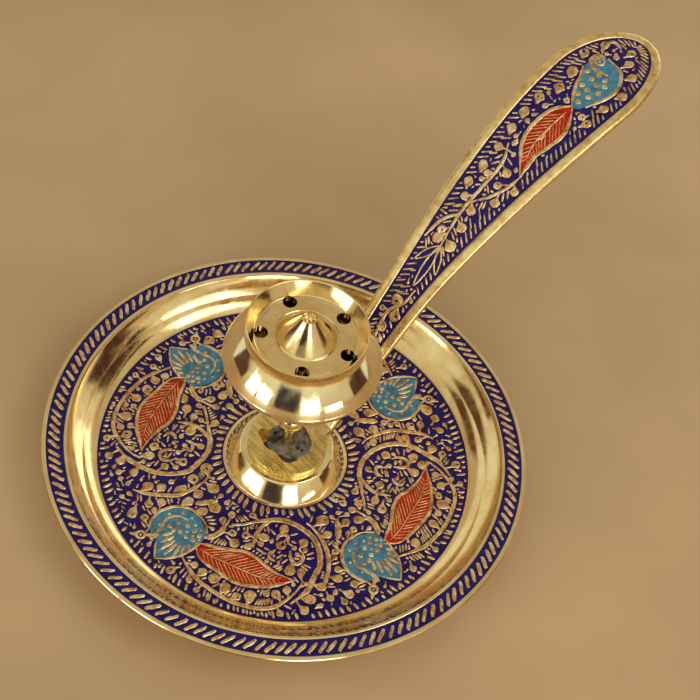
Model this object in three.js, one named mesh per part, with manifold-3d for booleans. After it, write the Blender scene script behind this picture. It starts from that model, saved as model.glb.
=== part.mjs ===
// Brass incense stick stand with a lifting handle, in millimetres, +Z up.
// The origin is on the centre line at the height of the surface that the foot ring rests on.
// The handle runs out along +X. Every turned piece is strung on one centre rod.
import * as THREE from "three";
import { mergeVertices } from "three/addons/utils/BufferGeometryUtils.js";
import Module from "manifold-3d";

// Plate: a turned dish on a foot ring, with cut fields that hold the enamel.
const PLATE_RADIUS = 55;
const PLATE_FLOOR_RADIUS = 42.7;
const PLATE_FLOOR_THICKNESS = 1.8;
const PLATE_WALL = 1.6;
const PLATE_DEPTH = 6;
const RIM_BAND_INNER = 50.3;
const RIM_BAND_WIDTH = 3.2;
const WALL_STEP_RADIUS = 46.4;
const WALL_STEP_HEIGHT = 2.3;
const FOOT_RING_RADIUS = 40;
const FOOT_RING_WIDTH = 3;
const FOOT_HEIGHT = 3.6;
const ENAMEL_DEPTH = 0.35;
const FIELD_MARGIN = 0.5;

// Pedestal: a hollow domed foot under the handle, with a thin lip.
const PEDESTAL_RADIUS = 13.8;
const PEDESTAL_TOP_RADIUS = 10.6;
const PEDESTAL_HEIGHT = 4.3;
const PEDESTAL_WALL = 1.1;
const PEDESTAL_LIP = 0.5;

// Handle: a flat strip that is bent up at the neck and arches over to a round tip.
const HANDLE_THICKNESS = 1.6;
const HANDLE_DISC_RADIUS = 9.1;
const HANDLE_BEND_START = 9.4;
const HANDLE_BEND_RADIUS = 1.5;
const HANDLE_LENGTH = 119;
const HANDLE_START_ANGLE = 57.5;
const HANDLE_END_ANGLE = -0.8;
const HANDLE_ARCH_POWER = 1.54;
const HANDLE_NECK_HALF_WIDTH = 4.2;
const HANDLE_LOWER_HALF_WIDTH = 6.24;
const HANDLE_UPPER_HALF_WIDTH = 10.42;
const HANDLE_TIP_HALF_WIDTH = 11.65;
const HANDLE_TIP_LENGTH = 20;
const HANDLE_BORDER = 1.8;
const HANDLE_EDGE_ROUND = 0.25;
const HANDLE_PANEL_START = 3;

// Centre rod with its riveted button, the nut and washer below, and the solder on the disc.
const ROD_RADIUS = 1.5;
const ROD_UPPER_RADIUS = 0.95;
const ROD_CLEARANCE = 0.3;
const ROD_STAND_OFF = 5.6;
const ROD_END_BELOW_NUT = 0.5;
const BUTTON_RADIUS = 1.65;
const BUTTON_HEIGHT = 1.5;
const BUTTON_FLUTES = 9;
const BUTTON_FLUTE_DEPTH = 0.16;
const WASHER_RADIUS = 4.5;
const WASHER_THICKNESS = 0.7;
const NUT_ACROSS_FLATS = 5.5;
const NUT_HEIGHT = 1.8;
const SOLDER_RADIUS = 4.7;
const SOLDER_HEIGHT = 0.8;

// Neck: the turned stem with a bead at its foot, under the head.
const NECK_LENGTH = 18;
const NECK_BEAD_RADIUS = 3;
const NECK_BEAD_RISE = 2.8;
const NECK_WAIST_RADIUS = 1.95;
const NECK_TOP_RADIUS = 3.6;

// Head: a hollow squat bowl closed by the cap that holds the sticks.
const BOWL_RADIUS = 17.1;
const BOWL_LOWER_HEIGHT = 8.4;
const BOWL_UPPER_HEIGHT = 5.7;
const BOWL_LIP_HEIGHT = 1.2;
const BOWL_LIP_STEP = 0.45;
const BOWL_WALL = 1.4;
const BOWL_MOUTH_RADIUS = 12.95;
const CAP_RADIUS = 13.15;
const CAP_FOOT_RADIUS = 12.8;
const CAP_RIM_WIDTH = 0.4;
const CAP_COLLAR_HEIGHT = 3.6;
const CAP_FLOOR_RADIUS = 11;
const CAP_RECESS_DEPTH = 3;
const CAP_PLATE_THICKNESS = 1.5;
const CAP_SPIGOT_CLEARANCE = 0.3;
const CONE_RADIUS = 6.3;
const CONE_HEIGHT = 6.1;
const CONE_TOP_RADIUS = 1.7;
const CONE_SAG = 0.42;
const STICK_HOLE_RADIUS = 1.55;
const STICK_HOLE_CIRCLE = 9.6;
// The holes are marked out by eye, so their angles from +X are not quite even.
const STICK_HOLE_ANGLES = [-9, 68, 135, 221, 290];

// Facets around each turned piece.
const PLATE_SEGMENTS = 64;
const TURNED_SEGMENTS = 42;
const SMALL_SEGMENTS = 28;

// Heights that follow from the stack.
const floorZ = FOOT_HEIGHT + PLATE_FLOOR_THICKNESS;
const plateUndersideZ = FOOT_HEIGHT;
const discBottomZ = floorZ + PEDESTAL_HEIGHT;
const discTopZ = discBottomZ + HANDLE_THICKNESS;
const neckBottomZ = discTopZ + ROD_STAND_OFF;
const neckTopZ = neckBottomZ + NECK_LENGTH;
const bowlEquatorZ = neckTopZ + BOWL_LOWER_HEIGHT;
const bowlMouthZ = bowlEquatorZ + BOWL_UPPER_HEIGHT;
const capTopZ = bowlMouthZ + CAP_COLLAR_HEIGHT;
const recessFloorZ = capTopZ - CAP_RECESS_DEPTH;
const coneTopZ = recessFloorZ + CONE_HEIGHT;
const rodHole = ROD_RADIUS + ROD_CLEARANCE;
const upperRodHole = ROD_UPPER_RADIUS + ROD_CLEARANCE;

const wasm = await Module();
wasm.setup();

// Turns a closed outline of [radius, height] pairs, listed anticlockwise, around Z.
function turned(outline, segments) {
  const points = [...outline, outline[0]].map(([r, z]) => new THREE.Vector2(r, z));
  return new THREE.LatheGeometry(points, segments).rotateX(Math.PI / 2);
}

function solidOf(geometry) {
  const bare = geometry.clone();
  bare.deleteAttribute("normal");
  bare.deleteAttribute("uv");
  const merged = mergeVertices(bare, 1e-4);
  return new wasm.Manifold(
    new wasm.Mesh({
      numProp: 3,
      vertProperties: merged.attributes.position.array,
      triVerts: new Uint32Array(merged.index.array),
    }),
  );
}

function geometryOf(solid) {
  const mesh = solid.getMesh();
  const geometry = new THREE.BufferGeometry();
  geometry.setAttribute("position", new THREE.BufferAttribute(mesh.vertProperties, 3));
  geometry.setIndex(new THREE.BufferAttribute(mesh.triVerts, 1));
  geometry.computeVertexNormals();
  return geometry;
}

// Points of a quarter of an ellipse from one [radius, height] to another.
// A hollow curve leaves level and arrives steep. A full one leaves steep and arrives level.
function quarter([r0, z0], [r1, z1], steps, full = false) {
  const points = [];
  for (let i = 1; i <= steps; i++) {
    const t = (i / steps) * (Math.PI / 2);
    const across = full ? 1 - Math.cos(t) : Math.sin(t);
    const up = full ? Math.sin(t) : 1 - Math.cos(t);
    points.push([r0 + (r1 - r0) * across, z0 + (z1 - z0) * up]);
  }
  return points;
}

// Points of a rounded shoulder from one [radius, height] to another.
// It leaves facing lean0 degrees above level and arrives facing lean1.
function shoulder([r0, z0], [r1, z1], lean0, lean1, steps) {
  const { cos, sin } = Math;
  const from = THREE.MathUtils.degToRad(lean0);
  const to = THREE.MathUtils.degToRad(lean1);
  const points = [];
  for (let i = 1; i <= steps; i++) {
    const lean = from + ((to - from) * i) / steps;
    const inward = (cos(from) - cos(lean)) / (cos(from) - cos(to));
    const up = (sin(lean) - sin(from)) / (sin(to) - sin(from));
    points.push([r0 + (r1 - r0) * inward, z0 + (z1 - z0) * up]);
  }
  return points;
}

// A drill or bore along Z.
function bore(radius, bottom, top, segments) {
  return new THREE.CylinderGeometry(radius, radius, top - bottom, segments)
    .rotateX(Math.PI / 2)
    .translate(0, 0, (top + bottom) / 2);
}

function plateGeometry() {
  const rimZ = floorZ + PLATE_DEPTH;
  const bandOuter = RIM_BAND_INNER + RIM_BAND_WIDTH;
  const bandZ = rimZ - ENAMEL_DEPTH;
  const fieldInner = PEDESTAL_RADIUS + FIELD_MARGIN;
  const fieldOuter = PLATE_FLOOR_RADIUS - FIELD_MARGIN;
  const fieldZ = floorZ - ENAMEL_DEPTH;
  const stepZ = floorZ + WALL_STEP_HEIGHT;
  const wallTop = [RIM_BAND_INNER - 0.4, rimZ - 0.1];
  const footInner = FOOT_RING_RADIUS - FOOT_RING_WIDTH;
  const footRound = 0.3;
  const edgeRound = 0.6;
  const rimUnderZ = rimZ - PLATE_WALL;
  const wallTopSide = [
    [PLATE_FLOOR_RADIUS, floorZ],
    ...quarter([PLATE_FLOOR_RADIUS, floorZ], [WALL_STEP_RADIUS, stepZ], 4),
    ...quarter([WALL_STEP_RADIUS, stepZ], wallTop, 5),
    [RIM_BAND_INNER, rimZ],
  ];
  const wallUnderSide = [
    [RIM_BAND_INNER + 0.6, rimUnderZ],
    [WALL_STEP_RADIUS + 0.9, stepZ - PLATE_WALL + 0.4],
    [WALL_STEP_RADIUS - 1.2, floorZ - PLATE_WALL + 0.6],
    [PLATE_FLOOR_RADIUS, plateUndersideZ],
  ];
  return turned(
    [
      [rodHole, plateUndersideZ],
      [footInner, plateUndersideZ],
      [footInner, footRound],
      [footInner + footRound, 0],
      [FOOT_RING_RADIUS - footRound, 0],
      [FOOT_RING_RADIUS, footRound],
      [FOOT_RING_RADIUS, plateUndersideZ],
      ...wallUnderSide.reverse(),
      [PLATE_RADIUS - edgeRound / 2, rimUnderZ],
      [PLATE_RADIUS, rimUnderZ + edgeRound / 2],
      [PLATE_RADIUS, rimZ - edgeRound],
      [PLATE_RADIUS - edgeRound / 2, rimZ - edgeRound / 6],
      [PLATE_RADIUS - edgeRound, rimZ],
      [bandOuter, rimZ],
      [bandOuter, bandZ],
      [RIM_BAND_INNER + 0.1, bandZ],
      ...wallTopSide.reverse(),
      [fieldOuter, floorZ],
      [fieldOuter, fieldZ],
      [fieldInner, fieldZ],
      [fieldInner, floorZ],
      [rodHole, floorZ],
    ],
    PLATE_SEGMENTS,
  );
}

function pedestalGeometry() {
  const lipZ = floorZ + PEDESTAL_LIP;
  const domeFoot = [PEDESTAL_RADIUS - 0.3, lipZ + 0.1];
  const domeTop = [PEDESTAL_TOP_RADIUS, discBottomZ - 0.15];
  const hollowRim = PEDESTAL_RADIUS - PEDESTAL_WALL;
  const hollowTop = [PEDESTAL_TOP_RADIUS - PEDESTAL_WALL, discBottomZ - PEDESTAL_WALL];
  const dome = shoulder(domeFoot, domeTop, 22, 50, 6);
  const hollow = shoulder([hollowRim, floorZ], hollowTop, 22, 50, 4).reverse();
  return turned(
    [
      [hollowRim, floorZ],
      [PEDESTAL_RADIUS - 0.1, floorZ],
      [PEDESTAL_RADIUS, floorZ + PEDESTAL_LIP / 2],
      [PEDESTAL_RADIUS - 0.1, lipZ],
      domeFoot,
      ...dome,
      [PEDESTAL_TOP_RADIUS - 0.3, discBottomZ],
      [rodHole, discBottomZ],
      [rodHole, discBottomZ - PEDESTAL_WALL],
      ...hollow,
    ],
    TURNED_SEGMENTS,
  );
}

// Middle line of the strip: flat under the disc, one tight bend, then the long arch.
function handlePath() {
  const stations = [];
  let x = HANDLE_DISC_RADIUS * 0.55;
  let z = 0;
  stations.push({ x, z, angle: 0, along: 0 });
  x = HANDLE_BEND_START;
  stations.push({ x, z, angle: 0, along: 0 });
  const start = THREE.MathUtils.degToRad(HANDLE_START_ANGLE);
  const bendSteps = 6;
  for (let i = 1; i <= bendSteps; i++) {
    const angle = (start * i) / bendSteps;
    stations.push({
      x: x + HANDLE_BEND_RADIUS * Math.sin(angle),
      z: z + HANDLE_BEND_RADIUS * (1 - Math.cos(angle)),
      angle,
      along: 0,
    });
  }
  const steps = 600;
  const last = stations[stations.length - 1];
  const fine = [last];
  for (let i = 1; i <= steps; i++) {
    const share = (i - 0.5) / steps;
    const turn = HANDLE_START_ANGLE - HANDLE_END_ANGLE;
    const angle = THREE.MathUtils.degToRad(HANDLE_START_ANGLE - turn * share ** HANDLE_ARCH_POWER);
    const before = fine[fine.length - 1];
    const step = HANDLE_LENGTH / steps;
    fine.push({
      x: before.x + step * Math.cos(angle),
      z: before.z + step * Math.sin(angle),
      angle,
      along: (HANDLE_LENGTH * i) / steps,
    });
  }
  return { root: stations, at: (along) => fine[Math.round((along / HANDLE_LENGTH) * steps)] };
}

function handleHalfWidth(along) {
  const marks = [
    [0, HANDLE_NECK_HALF_WIDTH],
    [HANDLE_LENGTH / 3, HANDLE_LOWER_HALF_WIDTH],
    [(HANDLE_LENGTH * 2) / 3, HANDLE_UPPER_HALF_WIDTH],
    [HANDLE_LENGTH - HANDLE_TIP_LENGTH, HANDLE_TIP_HALF_WIDTH],
    [HANDLE_LENGTH, HANDLE_TIP_HALF_WIDTH],
  ];
  const i = Math.max(1, marks.findIndex(([s]) => s >= along));
  const [s0, w0] = marks[i - 1];
  const [s1, w1] = marks[i];
  const width = w0 + ((w1 - w0) * (along - s0)) / (s1 - s0);
  const into = Math.max(0, along - (HANDLE_LENGTH - HANDLE_TIP_LENGTH)) / HANDLE_TIP_LENGTH;
  return width * Math.sqrt(Math.max(0, 1 - into * into));
}

// One cross-section of the strip, across its width, with the enamel field cut to a depth.
function stripSection(station, halfWidth, depth) {
  const half = Math.max(halfWidth, 0.5);
  const top = HANDLE_THICKNESS / 2;
  const edge = HANDLE_EDGE_ROUND;
  const field = Math.max(half - HANDLE_BORDER, edge);
  const profile = [
    [-half + edge, -top],
    [half - edge, -top],
    [half, -top + edge],
    [half, top - edge],
    [half - edge, top],
    [Math.min(field, half - edge - 0.02), top],
    [Math.min(field, half - edge - 0.02) - 0.05, top - depth],
    [-Math.min(field, half - edge - 0.02) + 0.05, top - depth],
    [-Math.min(field, half - edge - 0.02), top],
    [-half + edge, top],
    [-half, top - edge],
    [-half, -top + edge],
  ];
  const up = new THREE.Vector3(-Math.sin(station.angle), 0, Math.cos(station.angle));
  return profile.map(([across, rise]) =>
    new THREE.Vector3(station.x, -across, station.z).addScaledVector(up, rise),
  );
}

// Skins a row of sections that have the same number of points, and closes both ends.
function lofted(sections) {
  const count = sections[0].length;
  const positions = sections.flat().flatMap((p) => [p.x, p.y, p.z]);
  const index = [];
  for (let s = 0; s + 1 < sections.length; s++) {
    for (let i = 0; i < count; i++) {
      const a = s * count + i;
      const b = s * count + ((i + 1) % count);
      index.push(a, a + count, b, b, a + count, b + count);
    }
  }
  const lastRow = (sections.length - 1) * count;
  const flat = sections[0].map((p) => new THREE.Vector2(-p.y, p.z));
  for (const [a, b, c] of THREE.ShapeUtils.triangulateShape(flat, [])) {
    index.push(a, b, c);
    index.push(lastRow + c, lastRow + b, lastRow + a);
  }
  const geometry = new THREE.BufferGeometry();
  geometry.setAttribute("position", new THREE.Float32BufferAttribute(positions, 3));
  geometry.setIndex(index);
  return geometry;
}

function handleGeometry() {
  const path = handlePath();
  const fieldEnd = HANDLE_LENGTH - HANDLE_BORDER;
  const alongs = [0, 1.5, HANDLE_PANEL_START - 0.1, HANDLE_PANEL_START];
  const middleSteps = 22;
  const middleEnd = HANDLE_LENGTH - HANDLE_TIP_LENGTH;
  for (let i = 1; i <= middleSteps; i++) {
    alongs.push(HANDLE_PANEL_START + ((middleEnd - HANDLE_PANEL_START) * i) / middleSteps);
  }
  const tipSteps = 9;
  for (let i = 1; i <= tipSteps; i++) {
    const share = Math.sin((i / tipSteps) * (Math.PI / 2) * 0.97);
    alongs.push(middleEnd + HANDLE_TIP_LENGTH * share);
  }
  const sections = path.root.slice(0, -1).map((s) => stripSection(s, HANDLE_NECK_HALF_WIDTH, 0));
  for (const along of alongs) {
    const inField = along >= HANDLE_PANEL_START && along <= fieldEnd - HANDLE_BORDER;
    const depth = inField ? ENAMEL_DEPTH : 0;
    sections.push(stripSection(path.at(along), handleHalfWidth(along), depth));
  }
  const half = HANDLE_THICKNESS / 2;
  const edge = HANDLE_EDGE_ROUND;
  const disc = turned(
    [
      [0, -half],
      [HANDLE_DISC_RADIUS - edge, -half],
      [HANDLE_DISC_RADIUS, -half + edge],
      [HANDLE_DISC_RADIUS, half - edge],
      [HANDLE_DISC_RADIUS - edge, half],
      [0, half],
    ],
    TURNED_SEGMENTS,
  );
  const joined = solidOf(disc).add(solidOf(lofted(sections)));
  const drilled = joined.subtract(solidOf(bore(rodHole, -2, 2, SMALL_SEGMENTS)));
  return geometryOf(drilled).translate(0, 0, discBottomZ + half);
}

// The grey pool of solder that fixes the rod to the disc, thin at its edge.
function solderGeometry() {
  const edgeZ = discTopZ + 0.12;
  return turned(
    [
      [rodHole, discTopZ],
      [SOLDER_RADIUS, discTopZ],
      [SOLDER_RADIUS, edgeZ],
      [SOLDER_RADIUS * 0.75, discTopZ + SOLDER_HEIGHT * 0.35],
      [SOLDER_RADIUS * 0.5, discTopZ + SOLDER_HEIGHT * 0.62],
      [rodHole, discTopZ + SOLDER_HEIGHT],
    ],
    SMALL_SEGMENTS,
  );
}

function neckGeometry() {
  const beadZ = neckBottomZ + NECK_BEAD_RISE;
  const beadSteps = 8;
  const bead = [];
  for (let i = 0; i <= beadSteps; i++) {
    const angle = THREE.MathUtils.degToRad(-62 + (124 * i) / beadSteps);
    bead.push([NECK_BEAD_RADIUS * Math.cos(angle), beadZ + NECK_BEAD_RADIUS * Math.sin(angle)]);
  }
  const waistZ = beadZ + NECK_BEAD_RADIUS * 1.5;
  const flare = quarter([NECK_WAIST_RADIUS, waistZ], [NECK_TOP_RADIUS - 0.3, neckTopZ - 1.4], 5, true);
  return turned(
    [
      [upperRodHole, neckBottomZ],
      [NECK_WAIST_RADIUS - 0.1, neckBottomZ],
      ...bead,
      [NECK_WAIST_RADIUS, waistZ],
      ...flare,
      [NECK_TOP_RADIUS, neckTopZ - 1],
      [NECK_TOP_RADIUS, neckTopZ],
      [upperRodHole, neckTopZ],
    ],
    SMALL_SEGMENTS,
  );
}

// The bowl's side, bottom to mouth: half an ellipse up to the lip, then the shoulder above it.
function bowlSide(inset, lip) {
  const lipZ = bowlEquatorZ - BOWL_LIP_HEIGHT;
  const under = BOWL_RADIUS - BOWL_LIP_STEP - inset;
  const depth = lipZ - neckTopZ - inset;
  const points = [];
  const lowerSteps = 6;
  const seatAngle = Math.acos((NECK_TOP_RADIUS + 0.6) / under);
  for (let i = 0; i <= lowerSteps; i++) {
    const angle = seatAngle * (1 - i / lowerSteps);
    points.push([under * Math.cos(angle), lipZ - depth * Math.sin(angle)]);
  }
  const shoulderFoot = [BOWL_RADIUS - 0.1 - inset, bowlEquatorZ];
  const mouth = [BOWL_MOUTH_RADIUS - inset, bowlMouthZ];
  points.push(...lip, shoulderFoot, ...shoulder(shoulderFoot, mouth, 22, 50.5, 7));
  return points;
}

function bowlGeometry() {
  const lipZ = bowlEquatorZ - BOWL_LIP_HEIGHT;
  const lip = [
    [BOWL_RADIUS - 0.15, lipZ + 0.08],
    [BOWL_RADIUS, lipZ + BOWL_LIP_HEIGHT * 0.45],
  ];
  const outer = bowlSide(0, lip);
  const inner = bowlSide(BOWL_WALL, []).reverse();
  const innerFloorZ = inner[inner.length - 1][1];
  return turned(
    [
      [upperRodHole, neckTopZ],
      [NECK_TOP_RADIUS + 0.2, neckTopZ],
      ...outer,
      ...inner,
      [upperRodHole, innerFloorZ],
    ],
    TURNED_SEGMENTS,
  );
}

function capGeometry() {
  const spigotRadius = BOWL_MOUTH_RADIUS - BOWL_WALL - CAP_SPIGOT_CLEARANCE;
  const plateBottomZ = recessFloorZ - CAP_PLATE_THICKNESS;
  const outline = [
    [upperRodHole, plateBottomZ],
    [spigotRadius, plateBottomZ],
    [spigotRadius, bowlMouthZ],
    [CAP_FOOT_RADIUS, bowlMouthZ],
    [CAP_RADIUS, capTopZ - CAP_RIM_WIDTH / 2],
    [CAP_RADIUS - CAP_RIM_WIDTH * 0.3, capTopZ],
    [CAP_RADIUS - CAP_RIM_WIDTH * 0.7, capTopZ],
    [CAP_RADIUS - CAP_RIM_WIDTH, capTopZ - CAP_RIM_WIDTH / 2],
    [CAP_FLOOR_RADIUS + 0.15, recessFloorZ + 0.2],
    [CAP_FLOOR_RADIUS - 0.15, recessFloorZ],
    [CONE_RADIUS + 0.2, recessFloorZ],
  ];
  const coneSteps = 6;
  for (let i = 0; i <= coneSteps; i++) {
    const share = i / coneSteps;
    const radius = CONE_RADIUS + (CONE_TOP_RADIUS - CONE_RADIUS) * share;
    const sag = CONE_SAG * Math.sin(Math.PI * share);
    outline.push([radius - sag, recessFloorZ + 0.15 + (CONE_HEIGHT - 0.15) * share]);
  }
  outline.push([upperRodHole, coneTopZ]);
  let cap = solidOf(turned(outline, TURNED_SEGMENTS));
  const drill = bore(STICK_HOLE_RADIUS, plateBottomZ - 1, capTopZ + 1, 20);
  for (const degrees of STICK_HOLE_ANGLES) {
    const angle = THREE.MathUtils.degToRad(degrees);
    const x = STICK_HOLE_CIRCLE * Math.cos(angle);
    const y = STICK_HOLE_CIRCLE * Math.sin(angle);
    cap = cap.subtract(solidOf(drill.clone().translate(x, y, 0)));
  }
  return geometryOf(cap);
}

// Rod: thick up to the shoulder that carries the neck, thin above, riveted over at the top.
function rodGeometry() {
  const bottomZ = plateUndersideZ - WASHER_THICKNESS - NUT_HEIGHT - ROD_END_BELOW_NUT;
  const rod = turned(
    [
      [0, bottomZ],
      [ROD_RADIUS - 0.3, bottomZ],
      [ROD_RADIUS, bottomZ + 0.3],
      [ROD_RADIUS, neckBottomZ],
      [ROD_UPPER_RADIUS, neckBottomZ],
      [ROD_UPPER_RADIUS, coneTopZ],
      [BUTTON_RADIUS * 0.92, coneTopZ],
      [BUTTON_RADIUS, coneTopZ + BUTTON_HEIGHT * 0.35],
      [BUTTON_RADIUS * 0.85, coneTopZ + BUTTON_HEIGHT * 0.7],
      [BUTTON_RADIUS * 0.5, coneTopZ + BUTTON_HEIGHT * 0.95],
      [0, coneTopZ + BUTTON_HEIGHT],
    ],
    BUTTON_FLUTES * 4,
  );
  const position = rod.attributes.position;
  for (let i = 0; i < position.count; i++) {
    const x = position.getX(i);
    const y = position.getY(i);
    if (position.getZ(i) <= coneTopZ + 0.01) continue;
    const flute = 1 - (BUTTON_FLUTE_DEPTH / 2) * (1 - Math.cos(BUTTON_FLUTES * Math.atan2(y, x)));
    position.setX(i, x * flute);
    position.setY(i, y * flute);
  }
  return rod;
}

function washerGeometry() {
  const topZ = plateUndersideZ;
  const bottomZ = topZ - WASHER_THICKNESS;
  return turned(
    [
      [rodHole, bottomZ],
      [WASHER_RADIUS, bottomZ],
      [WASHER_RADIUS, topZ],
      [rodHole, topZ],
    ],
    SMALL_SEGMENTS,
  );
}

function nutGeometry() {
  const topZ = plateUndersideZ - WASHER_THICKNESS;
  const corner = NUT_ACROSS_FLATS / Math.sqrt(3);
  const blank = bore(corner, topZ - NUT_HEIGHT, topZ, 6);
  const hole = bore(rodHole, topZ - NUT_HEIGHT - 1, topZ + 1, SMALL_SEGMENTS);
  return geometryOf(solidOf(blank).subtract(solidOf(hole)));
}

function brass(colour, roughness) {
  return new THREE.MeshStandardMaterial({ color: colour, roughness, metalness: 1 });
}

const stand = new THREE.Group();
stand.name = "incense_stick_stand";

function place(name, geometry, material) {
  const mesh = new THREE.Mesh(geometry, material);
  mesh.name = name;
  stand.add(mesh);
}

place("plate", plateGeometry(), brass(0xd6b46e, 0.16));
place("pedestal", pedestalGeometry(), brass(0xd9b46a, 0.14));
place("handle", handleGeometry(), brass(0xc9a55c, 0.3));
place("solder_joint", solderGeometry(), brass(0x77777c, 0.5));
place("centre_rod", rodGeometry(), brass(0xc9a658, 0.28));
place("neck", neckGeometry(), brass(0xd9b46a, 0.14));
place("head_bowl", bowlGeometry(), brass(0xdab970, 0.12));
place("head_cap", capGeometry(), brass(0xd6b264, 0.2));
place("washer", washerGeometry(), brass(0xb9a070, 0.35));
place("nut", nutGeometry(), brass(0xb08d4a, 0.35));

export default stand;
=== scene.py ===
# Brass incense stick stand, dressed around its CAD frame: metres, +Z up, the handle along +X.
import math
import random

import bpy
import numpy as np
from mathutils import Matrix, Vector
from mathutils.geometry import delaunay_2d_cdt


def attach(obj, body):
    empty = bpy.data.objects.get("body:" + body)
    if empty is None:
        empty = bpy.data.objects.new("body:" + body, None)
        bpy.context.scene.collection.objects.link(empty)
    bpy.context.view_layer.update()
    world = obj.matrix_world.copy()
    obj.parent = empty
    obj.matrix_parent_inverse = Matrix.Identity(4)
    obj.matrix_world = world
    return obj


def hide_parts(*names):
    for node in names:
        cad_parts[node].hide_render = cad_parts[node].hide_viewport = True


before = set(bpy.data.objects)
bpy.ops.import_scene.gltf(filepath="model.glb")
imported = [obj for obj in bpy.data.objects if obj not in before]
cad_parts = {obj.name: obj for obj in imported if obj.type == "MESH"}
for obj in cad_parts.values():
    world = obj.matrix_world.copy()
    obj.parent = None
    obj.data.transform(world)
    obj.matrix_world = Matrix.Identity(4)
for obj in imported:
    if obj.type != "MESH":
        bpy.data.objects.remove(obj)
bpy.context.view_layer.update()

MM = 0.001

# Camera: it stands where the photograph was taken from, high over the dish on the side away from the
# handle. The picture is tilted, so the camera is rolled, and the lens is a long one.
FRAME_PIXELS = 700
FOCAL_PIXELS = 1600
SENSOR = 36
DISH_CENTRE_PIXEL = (285.2, 455.2)
DISH_FLOOR_Z = 5.4
CAMERA_DISTANCE = 367.4
CAMERA_PITCH = math.radians(51.29)
CAMERA_ROLL = math.radians(12.16)
CAMERA_HEADING = math.radians(-54)

ahead = Vector((0, math.cos(CAMERA_PITCH), -math.sin(CAMERA_PITCH)))
level = Vector((1, 0, 0))
above = level.cross(ahead)
camera_right = math.cos(CAMERA_ROLL) * level + math.sin(CAMERA_ROLL) * above
camera_up = math.cos(CAMERA_ROLL) * above - math.sin(CAMERA_ROLL) * level
to_right = (DISH_CENTRE_PIXEL[0] - FRAME_PIXELS / 2) / FOCAL_PIXELS
to_top = (FRAME_PIXELS / 2 - DISH_CENTRE_PIXEL[1]) / FOCAL_PIXELS
sight = ahead + to_right * camera_right + to_top * camera_up
eye = Vector((0, 0, DISH_FLOOR_Z)) * MM - sight * CAMERA_DISTANCE * MM
camera_axes = Matrix((camera_right, camera_up, -ahead)).transposed().to_4x4()

camera_data = bpy.data.cameras.new("camera")
camera_data.sensor_width = SENSOR
camera_data.lens = FOCAL_PIXELS * SENSOR / FRAME_PIXELS
camera_data.clip_start = 0.01
camera = bpy.data.objects.new("camera", camera_data)
bpy.context.scene.collection.objects.link(camera)
camera.matrix_world = Matrix.Rotation(CAMERA_HEADING, 4, "Z") @ Matrix.Translation(eye) @ camera_axes
bpy.context.scene.camera = camera
bpy.context.scene.view_settings.view_transform = "Standard"


# Table: a plain pale beige top, a little mottled, that the foot ring rests on.
# It fills the photograph's view. Its far corners only show at the top of low views.
TABLE_SIZE = 5000
TABLE_PALE = (0.56, 0.385, 0.225, 1)
TABLE_DARK = (0.41, 0.275, 0.155, 1)


class Finish:
    """A material being made: its shader, its nodes, and coordinates that stay fixed to the piece."""

    def __init__(self, name):
        self.material = bpy.data.materials.new(name)
        self.material.use_nodes = True
        self.nodes = self.material.node_tree.nodes
        self.links = self.material.node_tree.links
        self.shader = self.nodes["Principled BSDF"]
        self.place = self.nodes.new("ShaderNodeTexCoord").outputs["Object"]

    def noise(self, source, scale, detail, roughness):
        """A noise texture that is laid through a coordinate socket. Its scale counts per metre."""
        texture = self.nodes.new("ShaderNodeTexNoise")
        texture.inputs["Scale"].default_value = scale
        texture.inputs["Detail"].default_value = detail
        texture.inputs["Roughness"].default_value = roughness
        self.links.new(source, texture.inputs["Vector"])
        return texture.outputs["Fac"]

    def ramp(self, source, stops, socket):
        """Spreads colours or greys over a 0 to 1 value and leads them to a socket of the shader."""
        node = self.nodes.new("ShaderNodeValToRGB")
        while len(node.color_ramp.elements) < len(stops):
            node.color_ramp.elements.new(0.5)
        for element, (position, colour) in zip(node.color_ramp.elements, stops):
            element.position = position
            element.color = colour
        self.links.new(source, node.inputs["Fac"])
        self.links.new(node.outputs["Color"], self.shader.inputs[socket])

    def gloss(self, source, low, high, start=0.3, end=0.7):
        """Roughness that drifts between two values."""
        self.ramp(source, [(start, (low, low, low, 1)), (end, (high, high, high, 1))], "Roughness")

    def relief(self, source, distance, strength):
        """Small relief in the surface, its distance in metres."""
        node = self.nodes.new("ShaderNodeBump")
        node.inputs["Distance"].default_value = distance
        node.inputs["Strength"].default_value = strength
        self.links.new(source, node.inputs["Height"])
        self.links.new(node.outputs["Normal"], self.shader.inputs["Normal"])

    def plain(self, socket, value):
        """Sets a value that is the same all over the surface."""
        self.shader.inputs[socket].default_value = value


def mesh_object(name, vertices, faces, material=None):
    """A mesh object whose vertices are given in millimetres."""
    mesh = bpy.data.meshes.new(name)
    mesh.from_pydata([tuple(c * MM for c in v) for v in vertices], [], faces)
    if material:
        mesh.materials.append(material)
    made = bpy.data.objects.new(name, mesh)
    bpy.context.scene.collection.objects.link(made)
    return made


table_finish = Finish("table_top")
mottling = table_finish.noise(table_finish.place, 9, 4, 0.55)
table_finish.ramp(mottling, [(0.3, TABLE_DARK), (0.7, TABLE_PALE)], "Base Color")
table_finish.plain("Roughness", 0.5)
half_table = TABLE_SIZE / 2
table_corners = [(-half_table, -half_table, 0), (half_table, -half_table, 0)]
table_corners += [(half_table, half_table, 0), (-half_table, half_table, 0)]
table = mesh_object("table_top", table_corners, [(0, 1, 2, 3)], table_finish.material)


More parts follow.
